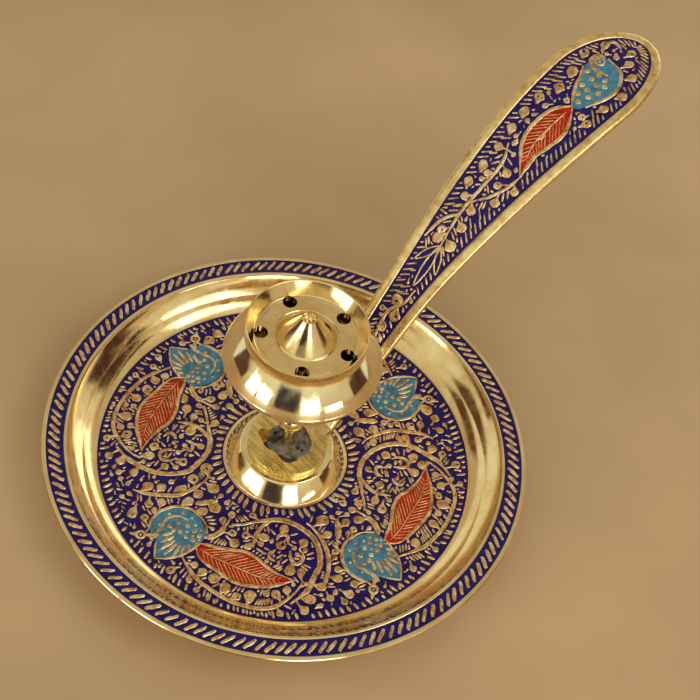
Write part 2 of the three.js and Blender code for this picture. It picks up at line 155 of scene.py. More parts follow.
# Light: a pale room with browner walls, a ceiling that is darker beyond the stand, and windows low down on
# the camera's side. The polished brass shows the windows as white patches, and the dark places on the
# walls as brown ones.
CEILING = (0.84, 0.80, 0.60, 1)
FAR_CEILING = (0.56, 0.47, 0.31, 1)
WALL = (0.66, 0.54, 0.34, 1)
LOW_WALL = (0.60, 0.45, 0.27, 1)
PALE_WALL = (0.84, 0.79, 0.62, 1)
CAMERA_SIDE = math.radians(-144)
# Where one colour of the room turns into the next: how far the view points to the camera's side, or up.
CEILING_TURN = (-0.5, 0.4)
WALL_RISE = (0.02, 0.25)
CEILING_RISE = (0.26, 0.50)
PATCH_CORE = 0.8
WINDOW_COLOUR = (1.0, 0.97, 0.90)
WALL_PATCHES = [
    # direction in degrees from +X, height in degrees, half width, half height, colour
    (92, 6, 34, 17, PALE_WALL),
    (342, 6, 30, 17, PALE_WALL),
    (209, 9, 17, 22, (0.060, 0.048, 0.050, 1)),
    (309, 2, 14, 14, (0.100, 0.045, 0.030, 1)),
    (130, 2, 14, 13, (0.110, 0.052, 0.034, 1)),
    (321, 22, 14, 18, (0.070, 0.036, 0.028, 1)),
    (116, 33, 15, 10, (0.120, 0.060, 0.032, 1)),
]
WINDOWS = [
    # name, direction in degrees from +X, height in degrees, distance, width and height in metres, radiance
    ("window_left", 160, 10, 0.72, 0.19, 0.30, 4.2),
    ("window_middle", 179, 11, 0.72, 0.20, 0.33, 4.2),
    ("window_right", 239, 12, 0.72, 0.27, 0.36, 4.2),
    ("window_far_right", 268, 3, 0.72, 0.27, 0.20, 4.2),
    ("skylight", 283, 52, 0.85, 0.40, 0.30, 2.6),
    ("far_wall_light", 8, 10, 0.90, 0.60, 0.30, 0.95),
]

world = bpy.data.worlds.new("room")
bpy.context.scene.world = world
world.use_nodes = True
world_nodes, world_links = world.node_tree.nodes, world.node_tree.links
view_direction = world_nodes.new("ShaderNodeTexCoord").outputs["Generated"]


def towards(heading, elevation):
    """A unit vector at a heading from +X and an elevation, both in radians."""
    flat = math.cos(elevation)
    return Vector((flat * math.cos(heading), flat * math.sin(heading), math.sin(elevation)))


def facing(direction):
    """How far the view direction points along a given one, from -1 to 1."""
    node = world_nodes.new("ShaderNodeVectorMath")
    node.operation = "DOT_PRODUCT"
    world_links.new(view_direction, node.inputs[0])
    node.inputs[1].default_value = direction
    return node.outputs["Value"]


def spread(source, low, high, falling=False, absolute=False):
    """A soft step from 0 to 1 between two values, or from 1 to 0."""
    if absolute:
        size = world_nodes.new("ShaderNodeMath")
        size.operation = "ABSOLUTE"
        world_links.new(source, size.inputs[0])
        source = size.outputs["Value"]
    node = world_nodes.new("ShaderNodeMapRange")
    node.interpolation_type = "SMOOTHSTEP"
    node.inputs["From Min"].default_value = low
    node.inputs["From Max"].default_value = high
    node.inputs["To Min"].default_value = 1 if falling else 0
    node.inputs["To Max"].default_value = 0 if falling else 1
    world_links.new(source, node.inputs["Value"])
    return node.outputs["Result"]


def product(first, second):
    """Two values multiplied."""
    node = world_nodes.new("ShaderNodeMath")
    node.operation = "MULTIPLY"
    world_links.new(first, node.inputs[0])
    world_links.new(second, node.inputs[1])
    return node.outputs["Value"]


def painted(under, over, share):
    """One colour laid over another. Either may be a socket."""
    node = world_nodes.new("ShaderNodeMix")
    node.data_type = "RGBA"
    for socket, colour in ((node.inputs["A"], under), (node.inputs["B"], over)):
        if isinstance(colour, tuple):
            socket.default_value = colour
        else:
            world_links.new(colour, socket)
    world_links.new(share, node.inputs["Factor"])
    return node.outputs["Result"]


upward = facing((0, 0, 1))
room = painted(FAR_CEILING, CEILING, spread(facing(towards(CAMERA_SIDE, 0)), *CEILING_TURN))
walls = painted(LOW_WALL, WALL, spread(upward, *WALL_RISE))
room = painted(walls, room, spread(upward, *CEILING_RISE))
for heading, elevation, half_width, half_height, colour in WALL_PATCHES:
    middle = towards(math.radians(heading), math.radians(elevation))
    side = Vector((0, 0, 1)).cross(middle).normalized()
    wide, tall = math.sin(math.radians(half_width)), math.sin(math.radians(half_height))
    across = spread(facing(side), wide * PATCH_CORE, wide, falling=True, absolute=True)
    high = spread(facing(middle.cross(side)), tall * PATCH_CORE, tall, falling=True, absolute=True)
    this_side = spread(facing(middle), 0.1, 0.3)
    room = painted(room, colour, product(product(across, high), this_side))
world_links.new(room, world_nodes["Background"].inputs["Color"])

for name, heading, elevation, distance, width, height, radiance in WINDOWS:
    lamp = bpy.data.lights.new(name, "AREA")
    lamp.shape = "RECTANGLE"
    lamp.size = width
    lamp.size_y = height
    lamp.energy = radiance * math.pi * width * height
    lamp.color = WINDOW_COLOUR
    window = bpy.data.objects.new(name, lamp)
    bpy.context.scene.collection.objects.link(window)
    side = towards(math.radians(heading), math.radians(elevation))
    window.location = side * distance
    window.rotation_euler = side.to_track_quat("Z", "Y").to_euler()
    window.visible_camera = False


# Plate: a turned brass dish on a foot ring, with a flat rim and a wall in two bands.
# It is polished bright, and two fields are sunk in it for enamel.
PLATE_RADIUS = 55
PLATE_FLOOR_RADIUS = 42.9
PLATE_UNDERSIDE_Z = 3.6
PLATE_RIM_Z = 11.4
PLATE_WALL = 1.6
PLATE_EDGE = 0.8
ROD_HOLE = 1.8
FIELD_DEPTH = 0.35
FLOOR_FIELD = (14.3, 42.7)
RIM_FIELD = (50.1, 54.0)
FOOT_RING = (37, 40)
WALL_STEP = (46.0, 7.7)
WALL_TOP_RADIUS = 49.25
LOWER_WALL_LEANS = (66, 42)
UPPER_WALL_LEANS = (54, 34)
BRASS_LIGHT = (0.87, 0.71, 0.40, 1)
BRASS_DEEP = (0.74, 0.52, 0.24, 1)
STEPS_AROUND = 256


def eased(profile, steps=3):
    """Rounds the corners of a closed outline. A point's third number is how far its corner is cut back."""
    points = []
    for i, corner in enumerate(profile):
        if len(corner) < 3:
            points.append(tuple(corner[:2]))
            continue
        middle = np.array(corner[:2], float)
        before = np.array(profile[i - 1][:2], float) - middle
        after = np.array(profile[(i + 1) % len(profile)][:2], float) - middle
        back = min(corner[2], 0.45 * np.linalg.norm(before), 0.45 * np.linalg.norm(after))
        start = middle + before / np.linalg.norm(before) * back
        end = middle + after / np.linalg.norm(after) * back
        for k in range(steps + 1):
            t = k / steps
            points.append(tuple((1 - t) ** 2 * start + 2 * t * (1 - t) * middle + t * t * end))
    return points


def shoulder(start, end, lean_start, lean_end, steps):
    """A rounded shoulder. It leaves facing one lean above level, in degrees, and arrives facing another."""
    first, last = math.radians(lean_start), math.radians(lean_end)
    points = []
    for i in range(1, steps + 1):
        lean = first + (last - first) * i / steps
        inward = (math.cos(first) - math.cos(lean)) / (math.cos(first) - math.cos(last))
        up = (math.sin(lean) - math.sin(first)) / (math.sin(last) - math.sin(first))
        points.append((start[0] + (end[0] - start[0]) * inward, start[1] + (end[1] - start[1]) * up))
    return points


def add_piece(name, vertices, faces, material, slot=None, *, sharp):
    """A mesh object that rides on the stand's one body. It is shaded smooth but for edges over an angle."""
    piece = mesh_object(name, vertices, faces, material)
    piece.data.polygons.foreach_set("use_smooth", [True] * len(piece.data.polygons))
    piece.data.set_sharp_from_angle(angle=math.radians(sharp))
    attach(piece, "root")
    return piece


def turned(profile, around=STEPS_AROUND):
    """Vertices and faces of a closed outline of radius and height turned about the centre line."""
    count = len(profile)
    vertices = []
    for k in range(around):
        angle = 2 * math.pi * k / around
        vertices += [(r * math.cos(angle), r * math.sin(angle), z) for r, z in profile]
    faces = []
    for k in range(around):
        here, there = k * count, (k + 1) % around * count
        for i in range(count):
            j = (i + 1) % count
            faces.append((here + i, there + i, there + j, here + j))
    return vertices, faces


def turned_brass(name, light, deep, roughness, lathe_marks, tarnish):
    """Bright turned brass: faint rings from the lathe, cloudy polish and a little brown tarnish."""
    brass = Finish(name)
    split = brass.nodes.new("ShaderNodeSeparateXYZ")
    brass.links.new(brass.place, split.inputs["Vector"])
    flat = brass.nodes.new("ShaderNodeCombineXYZ")
    brass.links.new(split.outputs["X"], flat.inputs["X"])
    brass.links.new(split.outputs["Y"], flat.inputs["Y"])
    radius = brass.nodes.new("ShaderNodeVectorMath")
    radius.operation = "LENGTH"
    brass.links.new(flat.outputs["Vector"], radius.inputs[0])
    rings = brass.nodes.new("ShaderNodeCombineXYZ")
    brass.links.new(radius.outputs["Value"], rings.inputs["X"])
    brass.links.new(split.outputs["Z"], rings.inputs["Y"])
    clouds = brass.noise(brass.place, 130, 4, 0.6)
    brass.ramp(clouds, [(0.5 - tarnish / 2, deep), (0.62, light)], "Base Color")
    smears = brass.noise(brass.place, 420, 3, 0.6)
    brass.gloss(smears, max(roughness - 0.05, 0.03), roughness + 0.10, 0.35, 0.75)
    marks = brass.noise(rings.outputs["Vector"], 3200, 2, 0.7)
    brass.relief(marks, 0.00002, lathe_marks)
    brass.plain("Metallic", 1)
    return brass.material


plate_brass = turned_brass("plate_brass", BRASS_LIGHT, BRASS_DEEP, 0.13, lathe_marks=0.03, tarnish=0.35)

wall_foot = (PLATE_FLOOR_RADIUS, DISH_FLOOR_Z)
wall_top = (WALL_TOP_RADIUS, PLATE_RIM_Z - 0.45)
wall_side = [wall_foot, *shoulder(wall_foot, WALL_STEP, *LOWER_WALL_LEANS, 14)]
wall_side += shoulder(WALL_STEP, wall_top, *UPPER_WALL_LEANS, 18)
rim_bead = [(WALL_TOP_RADIUS + 0.1, PLATE_RIM_Z - 0.14), (WALL_TOP_RADIUS + 0.35, PLATE_RIM_Z)]
rim_bead += [(RIM_FIELD[0] - 0.25, PLATE_RIM_Z), (RIM_FIELD[0] - 0.04, PLATE_RIM_Z - 0.1)]
plate_profile = [
    (ROD_HOLE, PLATE_UNDERSIDE_Z, 0.1),
    (FOOT_RING[0], PLATE_UNDERSIDE_Z, 0.4),
    (FOOT_RING[0], 0, 0.3),
    (FOOT_RING[1], 0, 0.3),
    (FOOT_RING[1], PLATE_UNDERSIDE_Z, 0.4),
    (PLATE_FLOOR_RADIUS, PLATE_UNDERSIDE_Z, 0.6),
    (WALL_STEP[0] - 1.2, DISH_FLOOR_Z - PLATE_WALL + 0.6, 0.6),
    (WALL_STEP[0] + 0.9, WALL_STEP[1] - PLATE_WALL + 0.4, 0.6),
    (RIM_FIELD[0] + 0.5, PLATE_RIM_Z - PLATE_WALL, 0.5),
    (PLATE_RADIUS - 0.6, PLATE_RIM_Z - PLATE_EDGE - 0.3, 0.5),
    (PLATE_RADIUS, PLATE_RIM_Z - PLATE_EDGE, 0.3),
    (PLATE_RADIUS, PLATE_RIM_Z - 0.1, 0.35),
    (RIM_FIELD[1], PLATE_RIM_Z, 0.06),
    (RIM_FIELD[1], PLATE_RIM_Z - FIELD_DEPTH),
    (RIM_FIELD[0], PLATE_RIM_Z - FIELD_DEPTH),
    *reversed(rim_bead),
    *reversed(wall_side),
    (FLOOR_FIELD[1], DISH_FLOOR_Z, 0.08),
    (FLOOR_FIELD[1], DISH_FLOOR_Z - FIELD_DEPTH),
    (FLOOR_FIELD[0], DISH_FLOOR_Z - FIELD_DEPTH),
    (FLOOR_FIELD[0], DISH_FLOOR_Z, 0.08),
    (ROD_HOLE, DISH_FLOOR_Z),
]
plate = add_piece("dish", *turned(eased(plate_profile)), plate_brass, "polished_brass", sharp=30)
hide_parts("plate")


# Enamel of the plate: deep blue enamel that is run into the sunk floor and rim and rubbed level.
# It is a little uneven, glossy, and lies just under the brass.
ENAMEL_BELOW = 0.14
ENAMEL_GAP = 0.01
ENAMEL_CREEP = (0.12, 0.05)
NAVY_DEEP = (0.006, 0.003, 0.058, 1)
NAVY_PALE = (0.017, 0.008, 0.160, 1)


def mottled(name, stops, clouds, grain, gloss, relief):
    """A finish whose colour drifts in clouds, and whose gloss and relief follow a finer grain."""
    finish = Finish(name)
    finish.ramp(finish.noise(finish.place, *clouds), stops, "Base Color")
    fine = finish.noise(finish.place, *grain)
    finish.gloss(fine, *gloss)
    finish.relief(fine, *relief)
    return finish


def enamel(name, deep, pale, roughness=0.25):
    """Fired enamel: one colour that clouds a little, with a slightly waved gloss."""
    stops = [(0.32, deep), (0.68, pale)]
    gloss = (roughness - 0.07, roughness + 0.15)
    finish = mottled(name, stops, (600, 4, 0.65), (2200, 3, 0.6), gloss, (0.00006, 0.35))
    finish.plain("Specular IOR Level", 0.2)
    return finish.material


navy_enamel = enamel("navy_enamel", NAVY_DEEP, NAVY_PALE)


def enamel_bed(name, field, top_z):
    """A thin ring of enamel that fills a sunk field and creeps up a little at its edges."""
    inner, outer = field[0] + ENAMEL_GAP, field[1] - ENAMEL_GAP
    bed_z = top_z - FIELD_DEPTH + ENAMEL_GAP
    level_z = top_z - ENAMEL_BELOW
    back, rise = ENAMEL_CREEP
    profile = [(inner, bed_z), (outer, bed_z), (outer, level_z + rise), (outer - back, level_z)]
    profile += [(inner + back, level_z), (inner, level_z + rise)]
    add_piece(name, *turned(profile), navy_enamel, sharp=60)


enamel_bed("floor_enamel", FLOOR_FIELD, DISH_FLOOR_Z)
enamel_bed("rim_enamel", RIM_FIELD, PLATE_RIM_Z)


# Chased work of the floor: a running vine with buds, four peacocks and four leaves.
# It is the plate's own brass, left standing in the enamel with soft edges. The leaves and birds hold
# red and pale blue enamel.
RELIEF = 0.125
SINK = 0.03
CELL = 0.1
FLOOR_REACH = 43
FLOOR_MARGINS = (0.25, 0.2)
VEIN_LEAN = 0.72
SMALLEST_SPOTTED = 0.7
PLAIN_SHARE = 0.68
ORNAMENT_BRIGHT = (0.92, 0.76, 0.46, 1)
ORNAMENT_MIDDLE = (0.72, 0.48, 0.21, 1)
ORNAMENT_DEEP = (0.40, 0.20, 0.07, 1)
PEACOCK_DEEP = (0.028, 0.125, 0.250, 1)
PEACOCK_PALE = (0.090, 0.285, 0.430, 1)
RED_DEEP = (0.200, 0.005, 0.003, 1)
RED_PALE = (0.560, 0.022, 0.006, 1)
SPOT_RADIUS = 0.58
DOT_RADIUS = 0.36
FEATHER_WIDTHS = 0.36 * np.array([0.6, 1, 1.2, 1.2, 1.1, 1, 0.8, 0.5])
BEAK_WIDTHS = np.array([0.6, 0.5, 0.4, 0.26, 0.12])
FRINGE_SHAPE = np.array([0.5, 0.9, 1, 0.9, 0.45])
PEACOCK_HEADINGS = [-99, 177, 85, -10.5]

# The lists down to VINE_BUDS hold places: degrees round from a peacock, and millimetres from the centre.
PEACOCK_EDGE = [
    (-5.2, 40.2), (-2.9, 38.8), (-0.8, 37.4), (0.9, 37), (2.8, 37), (4.3, 36.7), (6.9, 35), (8.5, 32.9),
    (8.2, 29.8), (5.9, 27.9), (2, 26.6), (-3, 26.2), (-8, 26.9), (-11.5, 28), (-12.4, 29.6),
    (-12.4, 31.7), (-11.6, 33.7), (-10.2, 36.2), (-7.7, 38.4),
]
PEACOCK_TAIL = [(-12.6, 31), (-11.6, 33.7), (-10.2, 36.2), (-7.7, 38.6), (-5.2, 40.4)]
PEACOCK_FRONT = [(-5.2, 40.4), (-2.9, 38.8), (-0.8, 37.4)]
PEACOCK_BACK = [
    (4, 38), (4.8, 36.8), (6.9, 35.4), (8.9, 33), (9.1, 30.6), (8, 28.6),
    (5.5, 27), (2, 26), (-3, 25.7), (-8, 26.3), (-12, 27.9),
]
PEACOCK_WING = [(1.6, 38), (1.3, 36.4), (2.7, 34.4), (4.6, 32.4), (4.6, 30.7), (2.6, 29.2), (-0.9, 28.4)]
PEACOCK_FEATHERS = [
    ((-1.6, 33), (-0.2, 35.3)), ((-3.2, 33.6), (-1.9, 36.8)), ((-4.7, 34.1), (-3.9, 38.4)),
    ((-6.2, 34.2), (-6.3, 38.4)), ((-7.6, 34), (-8.8, 37.1)), ((-8.8, 33.5), (-10.3, 35.5)),
    ((-9.8, 32.6), (-11.3, 33.8)),
]
PEACOCK_SPOTS = [
    (1.5, 32.6), (0.8, 30.6), (-2.8, 29.4), (-3.1, 31.7), (-6.8, 29.2),
    (-6.4, 31.6), (-9.3, 31.2), (-9.9, 29.4), (-0.9, 32.6),
]
PEACOCK_DOTS = [
    (4.2, 34.3), (6.3, 31), (3.6, 28.3), (-1, 27.4), (-5, 28),
    (-8.4, 28.2), (-5, 30.6), (-8, 30.4), (-11.2, 30.2), (-1, 34.6),
]
PEACOCK_EYE = (4.3, 39.1)
PEACOCK_THROAT = [(3.6, 38.2), (2.6, 37.6), (1.5, 36.9)]
PEACOCK_BEAK = [(5.2, 39.8), (6.6, 41)]
LEAF_UPPER = [
    (-11, 31.3), (-14.8, 30.1), (-20.1, 29.3), (-25.6, 28.1), (-31, 27.5),
    (-36.4, 27.9), (-41.2, 29.5), (-46.6, 31.1), (-50.9, 32.1), (-53.5, 32.8),
]
LEAF_LOWER = [
    (-49.7, 33.3), (-44.7, 34.4), (-39.3, 35.1), (-33.9, 35.5),
    (-29.2, 35.1), (-24.4, 34.5), (-19.5, 34), (-14.9, 33.4),
]
LEAF_RIB = [(-12.5, 31.8), (-20.2, 31.8), (-27, 31.7), (-33.5, 32), (-40.4, 32.6), (-49.5, 32.8)]
BREAST_VINE = [(21.5, 35.8), (18.6, 33.4), (15.8, 30.4), (13.3, 26.9), (13.2, 23.4), (15.5, 20.2), (19, 18.4)]
OUTER_VINE = [
    (-11.1, 35.9), (-15.2, 37), (-20.4, 38.4), (-25.3, 39.2), (-30, 39.8), (-35.1, 40.2),
    (-41.3, 40.2), (-46.4, 39.3), (-51.3, 37), (-55.2, 34.6), (-57, 32.9),
]
INNER_VINE = [
    (-51.5, 38.5), (-56.6, 36.2), (-58.9, 34.4), (-61.9, 32.1), (-64.8, 29.7), (-66.9, 26.5), (-66.1, 22.7),
    (-60.6, 19.5), (-51.6, 17.7), (-41.6, 17.6), (-30, 19.5), (-23.6, 21.1), (-18.5, 22.8),
]
VINE_STEMS = [
    # places, half-width, how far each place may stray
    (OUTER_VINE, 0.42, 0.3),
    (INNER_VINE, 0.52, 0.5),
    ([(-40.5, 17.9), (-35.6, 19.8), (-33.2, 22.5), (-34.4, 26)], 0.4, 0.4),
    ([(-12.2, 29), (-14.6, 27.4), (-15.9, 25.4), (-15.8, 23)], 0.55, 0.3),
    ([(5.2, 24.6), (2.4, 22.6), (-1.2, 20)], 0.6, 0.5),
    (BREAST_VINE, 0.42, 0.4),
    ([(-45.4, 25.2), (-42.9, 26), (-42.4, 27.2), (-45.2, 28.1)], 0.36, 0.3),
    ([(-52.7, 25.2), (-52.3, 27), (-54.3, 28.6), (-57.5, 28.1), (-58.8, 26.5), (-57.4, 24.9)], 0.36, 0.3),
    ([(-44.9, 22.9), (-46.8, 21.4), (-51.3, 21.4), (-51.4, 23.7)], 0.36, 0.3),
]
VINE_BUDS = [
    # degrees round, millimetres from the centre, radius
    (-38.6, 22.4, 1.15), (-25.1, 26, 1.25), (-29.5, 37.4, 1.2), (-19.6, 36.2, 1.1), (-38.1, 37.7, 1.25),
    (-46.2, 36.6, 1.15), (-11.6, 40.2, 0.95), (-22, 40.9, 0.75), (-49, 40.8, 0.85), (-56.2, 39.8, 1.1),
    (-63.2, 34.6, 1.05), (8.4, 18.6, 1.4), (-13.6, 20.6, 0.95), (-28, 23.6, 0.95), (12, 37.9, 1.15),
    (13.6, 33.6, 0.95), (9.3, 22.4, 1.1), (-59.6, 23.4, 1.1),
]
FLOOR_FRINGES = [
    # strokes round the ring, radius where they start, inwards or outwards, half-width, shortest and longest
    (156, FLOOR_FIELD[1] - 0.6, -1, 0.36, (1.3, 2.2)),
    (56, FLOOR_FIELD[0] + 0.35, 1, 0.46, (2.2, 2.9)),
]


def flowing(points, closed=False, gap=0.35):
    """A smooth line through a few chosen points."""
    points = np.array(points, float)
    if closed:
        ring = np.vstack([points[-1:], points, points[:2]])
    else:
        ring = np.vstack([2 * points[:1] - points[1:2], points, 2 * points[-1:] - points[-2:-1]])
    parts = []
    for a, b, c, d in zip(ring, ring[1:], ring[2:], ring[3:]):
        steps = max(2, int(np.linalg.norm(c - b) / gap))
        t = np.linspace(0, 1, steps, endpoint=False)[:, None]
        cubic = (3 * b - a - 3 * c + d) * t**3 + (2 * a - 5 * b + 4 * c - d) * t**2
        parts.append(0.5 * (cubic + (c - a) * t + 2 * b))
    line = np.vstack(parts)
    return line if closed else np.vstack([line, points[-1:]])


def inside(points, outline):
    """Which of the points lie in a closed outline."""
    x, y = points[:, 0], points[:, 1]
    within = np.zeros(len(points), bool)
    for (x1, y1), (x2, y2) in zip(outline, np.roll(outline, -1, axis=0)):
        if y1 == y2:
            continue
        crosses = (y1 > y) != (y2 > y)
        within ^= crosses & (x < (x2 - x1) * (y - y1) / (y2 - y1) + x1)
    return within


class Field:
    """One enamelled field: what already stands in it, and how its flat drawing lies on the piece."""

    def __init__(self, low, high, allowed, lay):
        self.low = np.array(low, float)
        self.lay = lay
        shape = ((np.array(high, float) - self.low) / CELL).astype(int)
        grid = np.indices(shape).reshape(2, -1).T
        self.taken = ~allowed(self.low + (grid + 0.5) * CELL).reshape(shape)
        self.vertices, self.faces = [], []
        self.pools = {}

    def cells(self, points):
        """The cells of the drawing that points lie in."""
        index = ((points - self.low) / CELL).astype(int)
        return np.clip(index, 0, np.array(self.taken.shape) - 1)

    def swept(self, line, widths, spare):
        """Sample points over a stroke, with spare room all round it."""
        ahead = np.gradient(line, axis=0)
        ahead /= np.linalg.norm(ahead, axis=1, keepdims=True) + 1e-9
        ends = np.vstack([line[:1] - ahead[:1] * spare, line, line[-1:] + ahead[-1:] * spare])
        ahead = np.vstack([ahead[:1], ahead, ahead[-1:]])
        reach = np.concatenate([widths[:1], widths, widths[-1:]]) + spare
        side = np.stack([-ahead[:, 1], ahead[:, 0]], axis=1)
        shares = np.linspace(-1, 1, max(3, int(2 * reach.max() / CELL) + 1))
        return (ends[:, None] + side[:, None] * reach[:, None, None] * shares[None, :, None]).reshape(-1, 2)

    def free(self, line, widths, spare):
        """Whether a stroke has room, with some to spare."""
        i, j = self.cells(self.swept(line, widths, spare)).T
        return not self.taken[i, j].any()

    def stroke(self, line, widths, closed=False, height=RELIEF):
        """Raises a rounded stroke of brass along a line. Its half-widths may change along it."""
        widths = np.broadcast_to(np.asarray(widths, float), (len(line),))
        i, j = self.cells(self.swept(line, widths, 0)).T
        self.taken[i, j] = True
        ahead = np.roll(line, -1, 0) - np.roll(line, 1, 0) if closed else np.gradient(line, axis=0)
        side = np.stack([-ahead[:, 1], ahead[:, 0]], axis=1)
        side /= np.linalg.norm(side, axis=1, keepdims=True) + 1e-9
        # Seven points across: the foot, the flank and the crown of each side, and the middle.
        edge = np.clip(0.14 / np.maximum(widths, 0.05), 0.10, 0.32)[:, None]
        shares = np.array([-1, -1, -1, 0, 1, 1, 1]) * (1 - edge * np.array([0, 1, 2.2, 1, 2.2, 1, 0]))
        left = 1 + 0.09 * np.sin(line @ np.array([2.3, 3.1]))
        right = 1 + 0.09 * np.sin(line @ np.array([3.4, -2.2]) + 1)
        reach = widths[:, None] * np.where(shares < 0, left[:, None], right[:, None]) * shares
        flat = line[:, None] + side[:, None] * reach[:, :, None]
        rises = np.array([0, 0.78, 0.98, 1, 0.98, 0.78, 0])
        crown = height * np.minimum(1, widths / 0.2)[:, None] * rises[None]
        crown[:, [0, -1]] = -SINK
        first = sum(len(v) for v in self.vertices)
        self.vertices.append(np.dstack([flat, crown]).reshape(-1, 3))
        rows, across = shares.shape
        for r in range(rows if closed else rows - 1):
            here, there = first + r * across, first + (r + 1) % rows * across
            for c in range(across):
                d = (c + 1) % across
                self.faces.append((here + c, there + c, there + d, here + d))
        if not closed:
            self.faces.append(tuple(first + c for c in range(across)))
            last = first + (rows - 1) * across
            self.faces.append(tuple(last + c for c in reversed(range(across))))

    def pool(self, outline, colour, height=0.03, gap=0.8, sink=SINK, mark=True):
        """Fills a closed outline with coloured enamel that follows the surface."""
        low, high = outline.min(axis=0), outline.max(axis=0)
        xs, ys = np.arange(low[0], high[0], gap), np.arange(low[1], high[1], gap)
        grid = np.stack(np.meshgrid(xs, ys), axis=-1).reshape(-1, 2)
        grid = grid[inside(grid, outline)]
        grid = grid[[np.abs(outline - g).sum(axis=1).min() > 0.35 for g in grid]] if len(grid) else grid
        count = len(outline)
        flat = [Vector(p) for p in np.vstack([outline, grid])]
        edges = [(k, (k + 1) % count) for k in range(count)]
        points, _, triangles, *_ = delaunay_2d_cdt(flat, edges, [], 1, 1e-6)
        store = self.pools.setdefault(colour, ([], []))
        first = sum(len(v) for v in store[0])
        flat = np.array([tuple(p) for p in points])
        top = np.column_stack([flat, np.full(len(flat), height)])
        bottom = np.column_stack([flat, np.full(len(flat), -sink)])
        store[0].append(np.vstack([top, bottom]))
        under = len(flat)
        used = {}
        for triangle in triangles:
            store[1].append(tuple(first + k for k in triangle))
            store[1].append(tuple(first + under + k for k in reversed(triangle)))
            for a, b in zip(triangle, (*triangle[1:], triangle[0])):
                used[(a, b)] = True
        # A side that only one triangle uses lies on the outline, and gets a wall.
        for a, b in used:
            if (b, a) not in used:
                store[1].append((first + a, first + under + a, first + under + b, first + b))
        if not mark:
            return
        cells = np.indices(self.taken.shape).reshape(2, -1).T
        low_cell, high_cell = self.cells(low[None])[0], self.cells(high[None])[0]
        near = ((cells >= low_cell) & (cells <= high_cell)).all(axis=1)
        cells = cells[near]
        cells = cells[inside(self.low + (cells + 0.5) * CELL, outline)]
        self.taken[cells[:, 0], cells[:, 1]] = True

    def piece(self, name, material, slot):
        """Makes one object of all strokes."""
        add_piece(name, self.lay(np.vstack(self.vertices)), self.faces, material, slot, sharp=80)

    def pool_piece(self, name, colour, material):
        """Makes one object of all pools of a colour."""
        vertices, faces = self.pools[colour]
        add_piece(name, self.lay(np.vstack(vertices)), faces, material, sharp=60)


def loop(centre, radius, squash=1.0, turn=0.0, count=16):
    """A closed round or oval line."""
    angles = np.linspace(0, 2 * math.pi, count, endpoint=False)
    flat = radius * np.stack([np.cos(angles), squash * np.sin(angles)], axis=1)
    across = np.array([[math.cos(turn), math.sin(turn)], [-math.sin(turn), math.cos(turn)]])
    return np.asarray(centre, float) + flat @ across


def tapered(line, width, tail=0.3):
    """Half-widths of a stem that thins towards both of its ends."""
    u = np.linspace(0, 1, len(line))
    return width * np.clip(np.minimum(u / 0.12, (1 - u) / 0.25), tail, 1)


def bud_line(start, heading, length, bend):
    """The middle line of a bud that leaves its stem at a heading and curls."""
    steps = max(9, int(length / 0.24))
    angles = heading + bend * (np.arange(steps) + 0.5) / steps
    moves = np.stack([np.cos(angles), np.sin(angles)], axis=1) * length / steps
    return np.vstack([start, start + np.cumsum(moves, axis=0)])


def bud_widths(count, width, length, tail, waist):
    """Half-widths of a bud on its tail. A large waist gives a full drop, a small one a ball on a stalk."""
    left = np.linspace(length, 0, count)
    head = np.sqrt(np.maximum(width**2 - (width - np.minimum(left, width)) ** 2, (0.25 * width) ** 2))
    neck = np.where(left > width, np.exp(-(((left - width) / (waist * width)) ** 2)), 1)
    return np.maximum(head * neck, tail)


def spotted(field, line, width, rng):
    """Sets a spot of the blue enamel in the top of about every third large bud."""
    if width < SMALLEST_SPOTTED or rng.random() < PLAIN_SHARE:
        return
    back = line[-2] - line[-1]
    back = back / np.linalg.norm(back)
    centre = line[-1] + back * width * rng.uniform(0.75, 1.15)
    centre = centre + np.array([-back[1], back[0]]) * width * rng.uniform(-0.35, 0.35)
    spot = loop(centre, width * rng.uniform(0.24, 0.42), rng.uniform(0.5, 0.8), rng.uniform(0, 3.1), 10)
    field.pool(spot, "navy", height=RELIEF + 0.012, sink=0, mark=False)


def try_bud(field, start, heading, length, width, bend, spare, rng):
    """Sets a bud if its outer half has room, and tells whether it did."""
    line = bud_line(np.asarray(start, float), heading, length, bend)
    widths = bud_widths(len(line), width, length, 0.2, rng.uniform(0.7, 1.5))
    body = len(line) // 2
    if not field.free(line[body:], widths[body:], spare):
        return False
    field.stroke(line, widths)
    spotted(field, line, width, rng)
    return True


def placed_bud(field, centre, radius, stems, rng):
    """A round bud at a chosen place. Its tail comes off the nearest stem, or ends free if that is far."""
    longest_tail, free_tail = 3.2 * radius, 2.2 * radius
    centre = np.array(centre, float)
    points = np.vstack(stems)
    root = points[np.linalg.norm(points - centre, axis=1).argmin()]
    way = centre - root
    distance = np.linalg.norm(way)
    if distance > longest_tail:
        root = centre - way / distance * free_tail
        way = centre - root
        distance = free_tail
    heading = math.atan2(way[1], way[0])
    line = bud_line(root, heading - 0.3, distance + radius, 0.6)
    field.stroke(line, bud_widths(len(line), radius, distance + radius, 0.24, rng.uniform(0.8, 1.3)))
    spotted(field, line, radius, rng)


def dot(field, centre, radius):
    """A small round boss."""
    shares = np.linspace(-1, 1, 7)
    line = np.array(centre, float) + np.stack([shares * radius, np.zeros(7)], axis=1)
    field.stroke(line, radius * np.sqrt(1 - np.minimum(np.abs(shares), 0.97) ** 2))


def lengths_along(line):
    """How far along a line each of its points stands."""
    steps = np.linalg.norm(np.diff(line, axis=0), axis=1)
    return np.concatenate([[0], np.cumsum(steps)])


def inner_point(along, distance):
    """The number of the point that stands at a distance along a line, never the first or the last."""
    return min(max(int(np.searchsorted(along, distance)), 1), len(along) - 2)


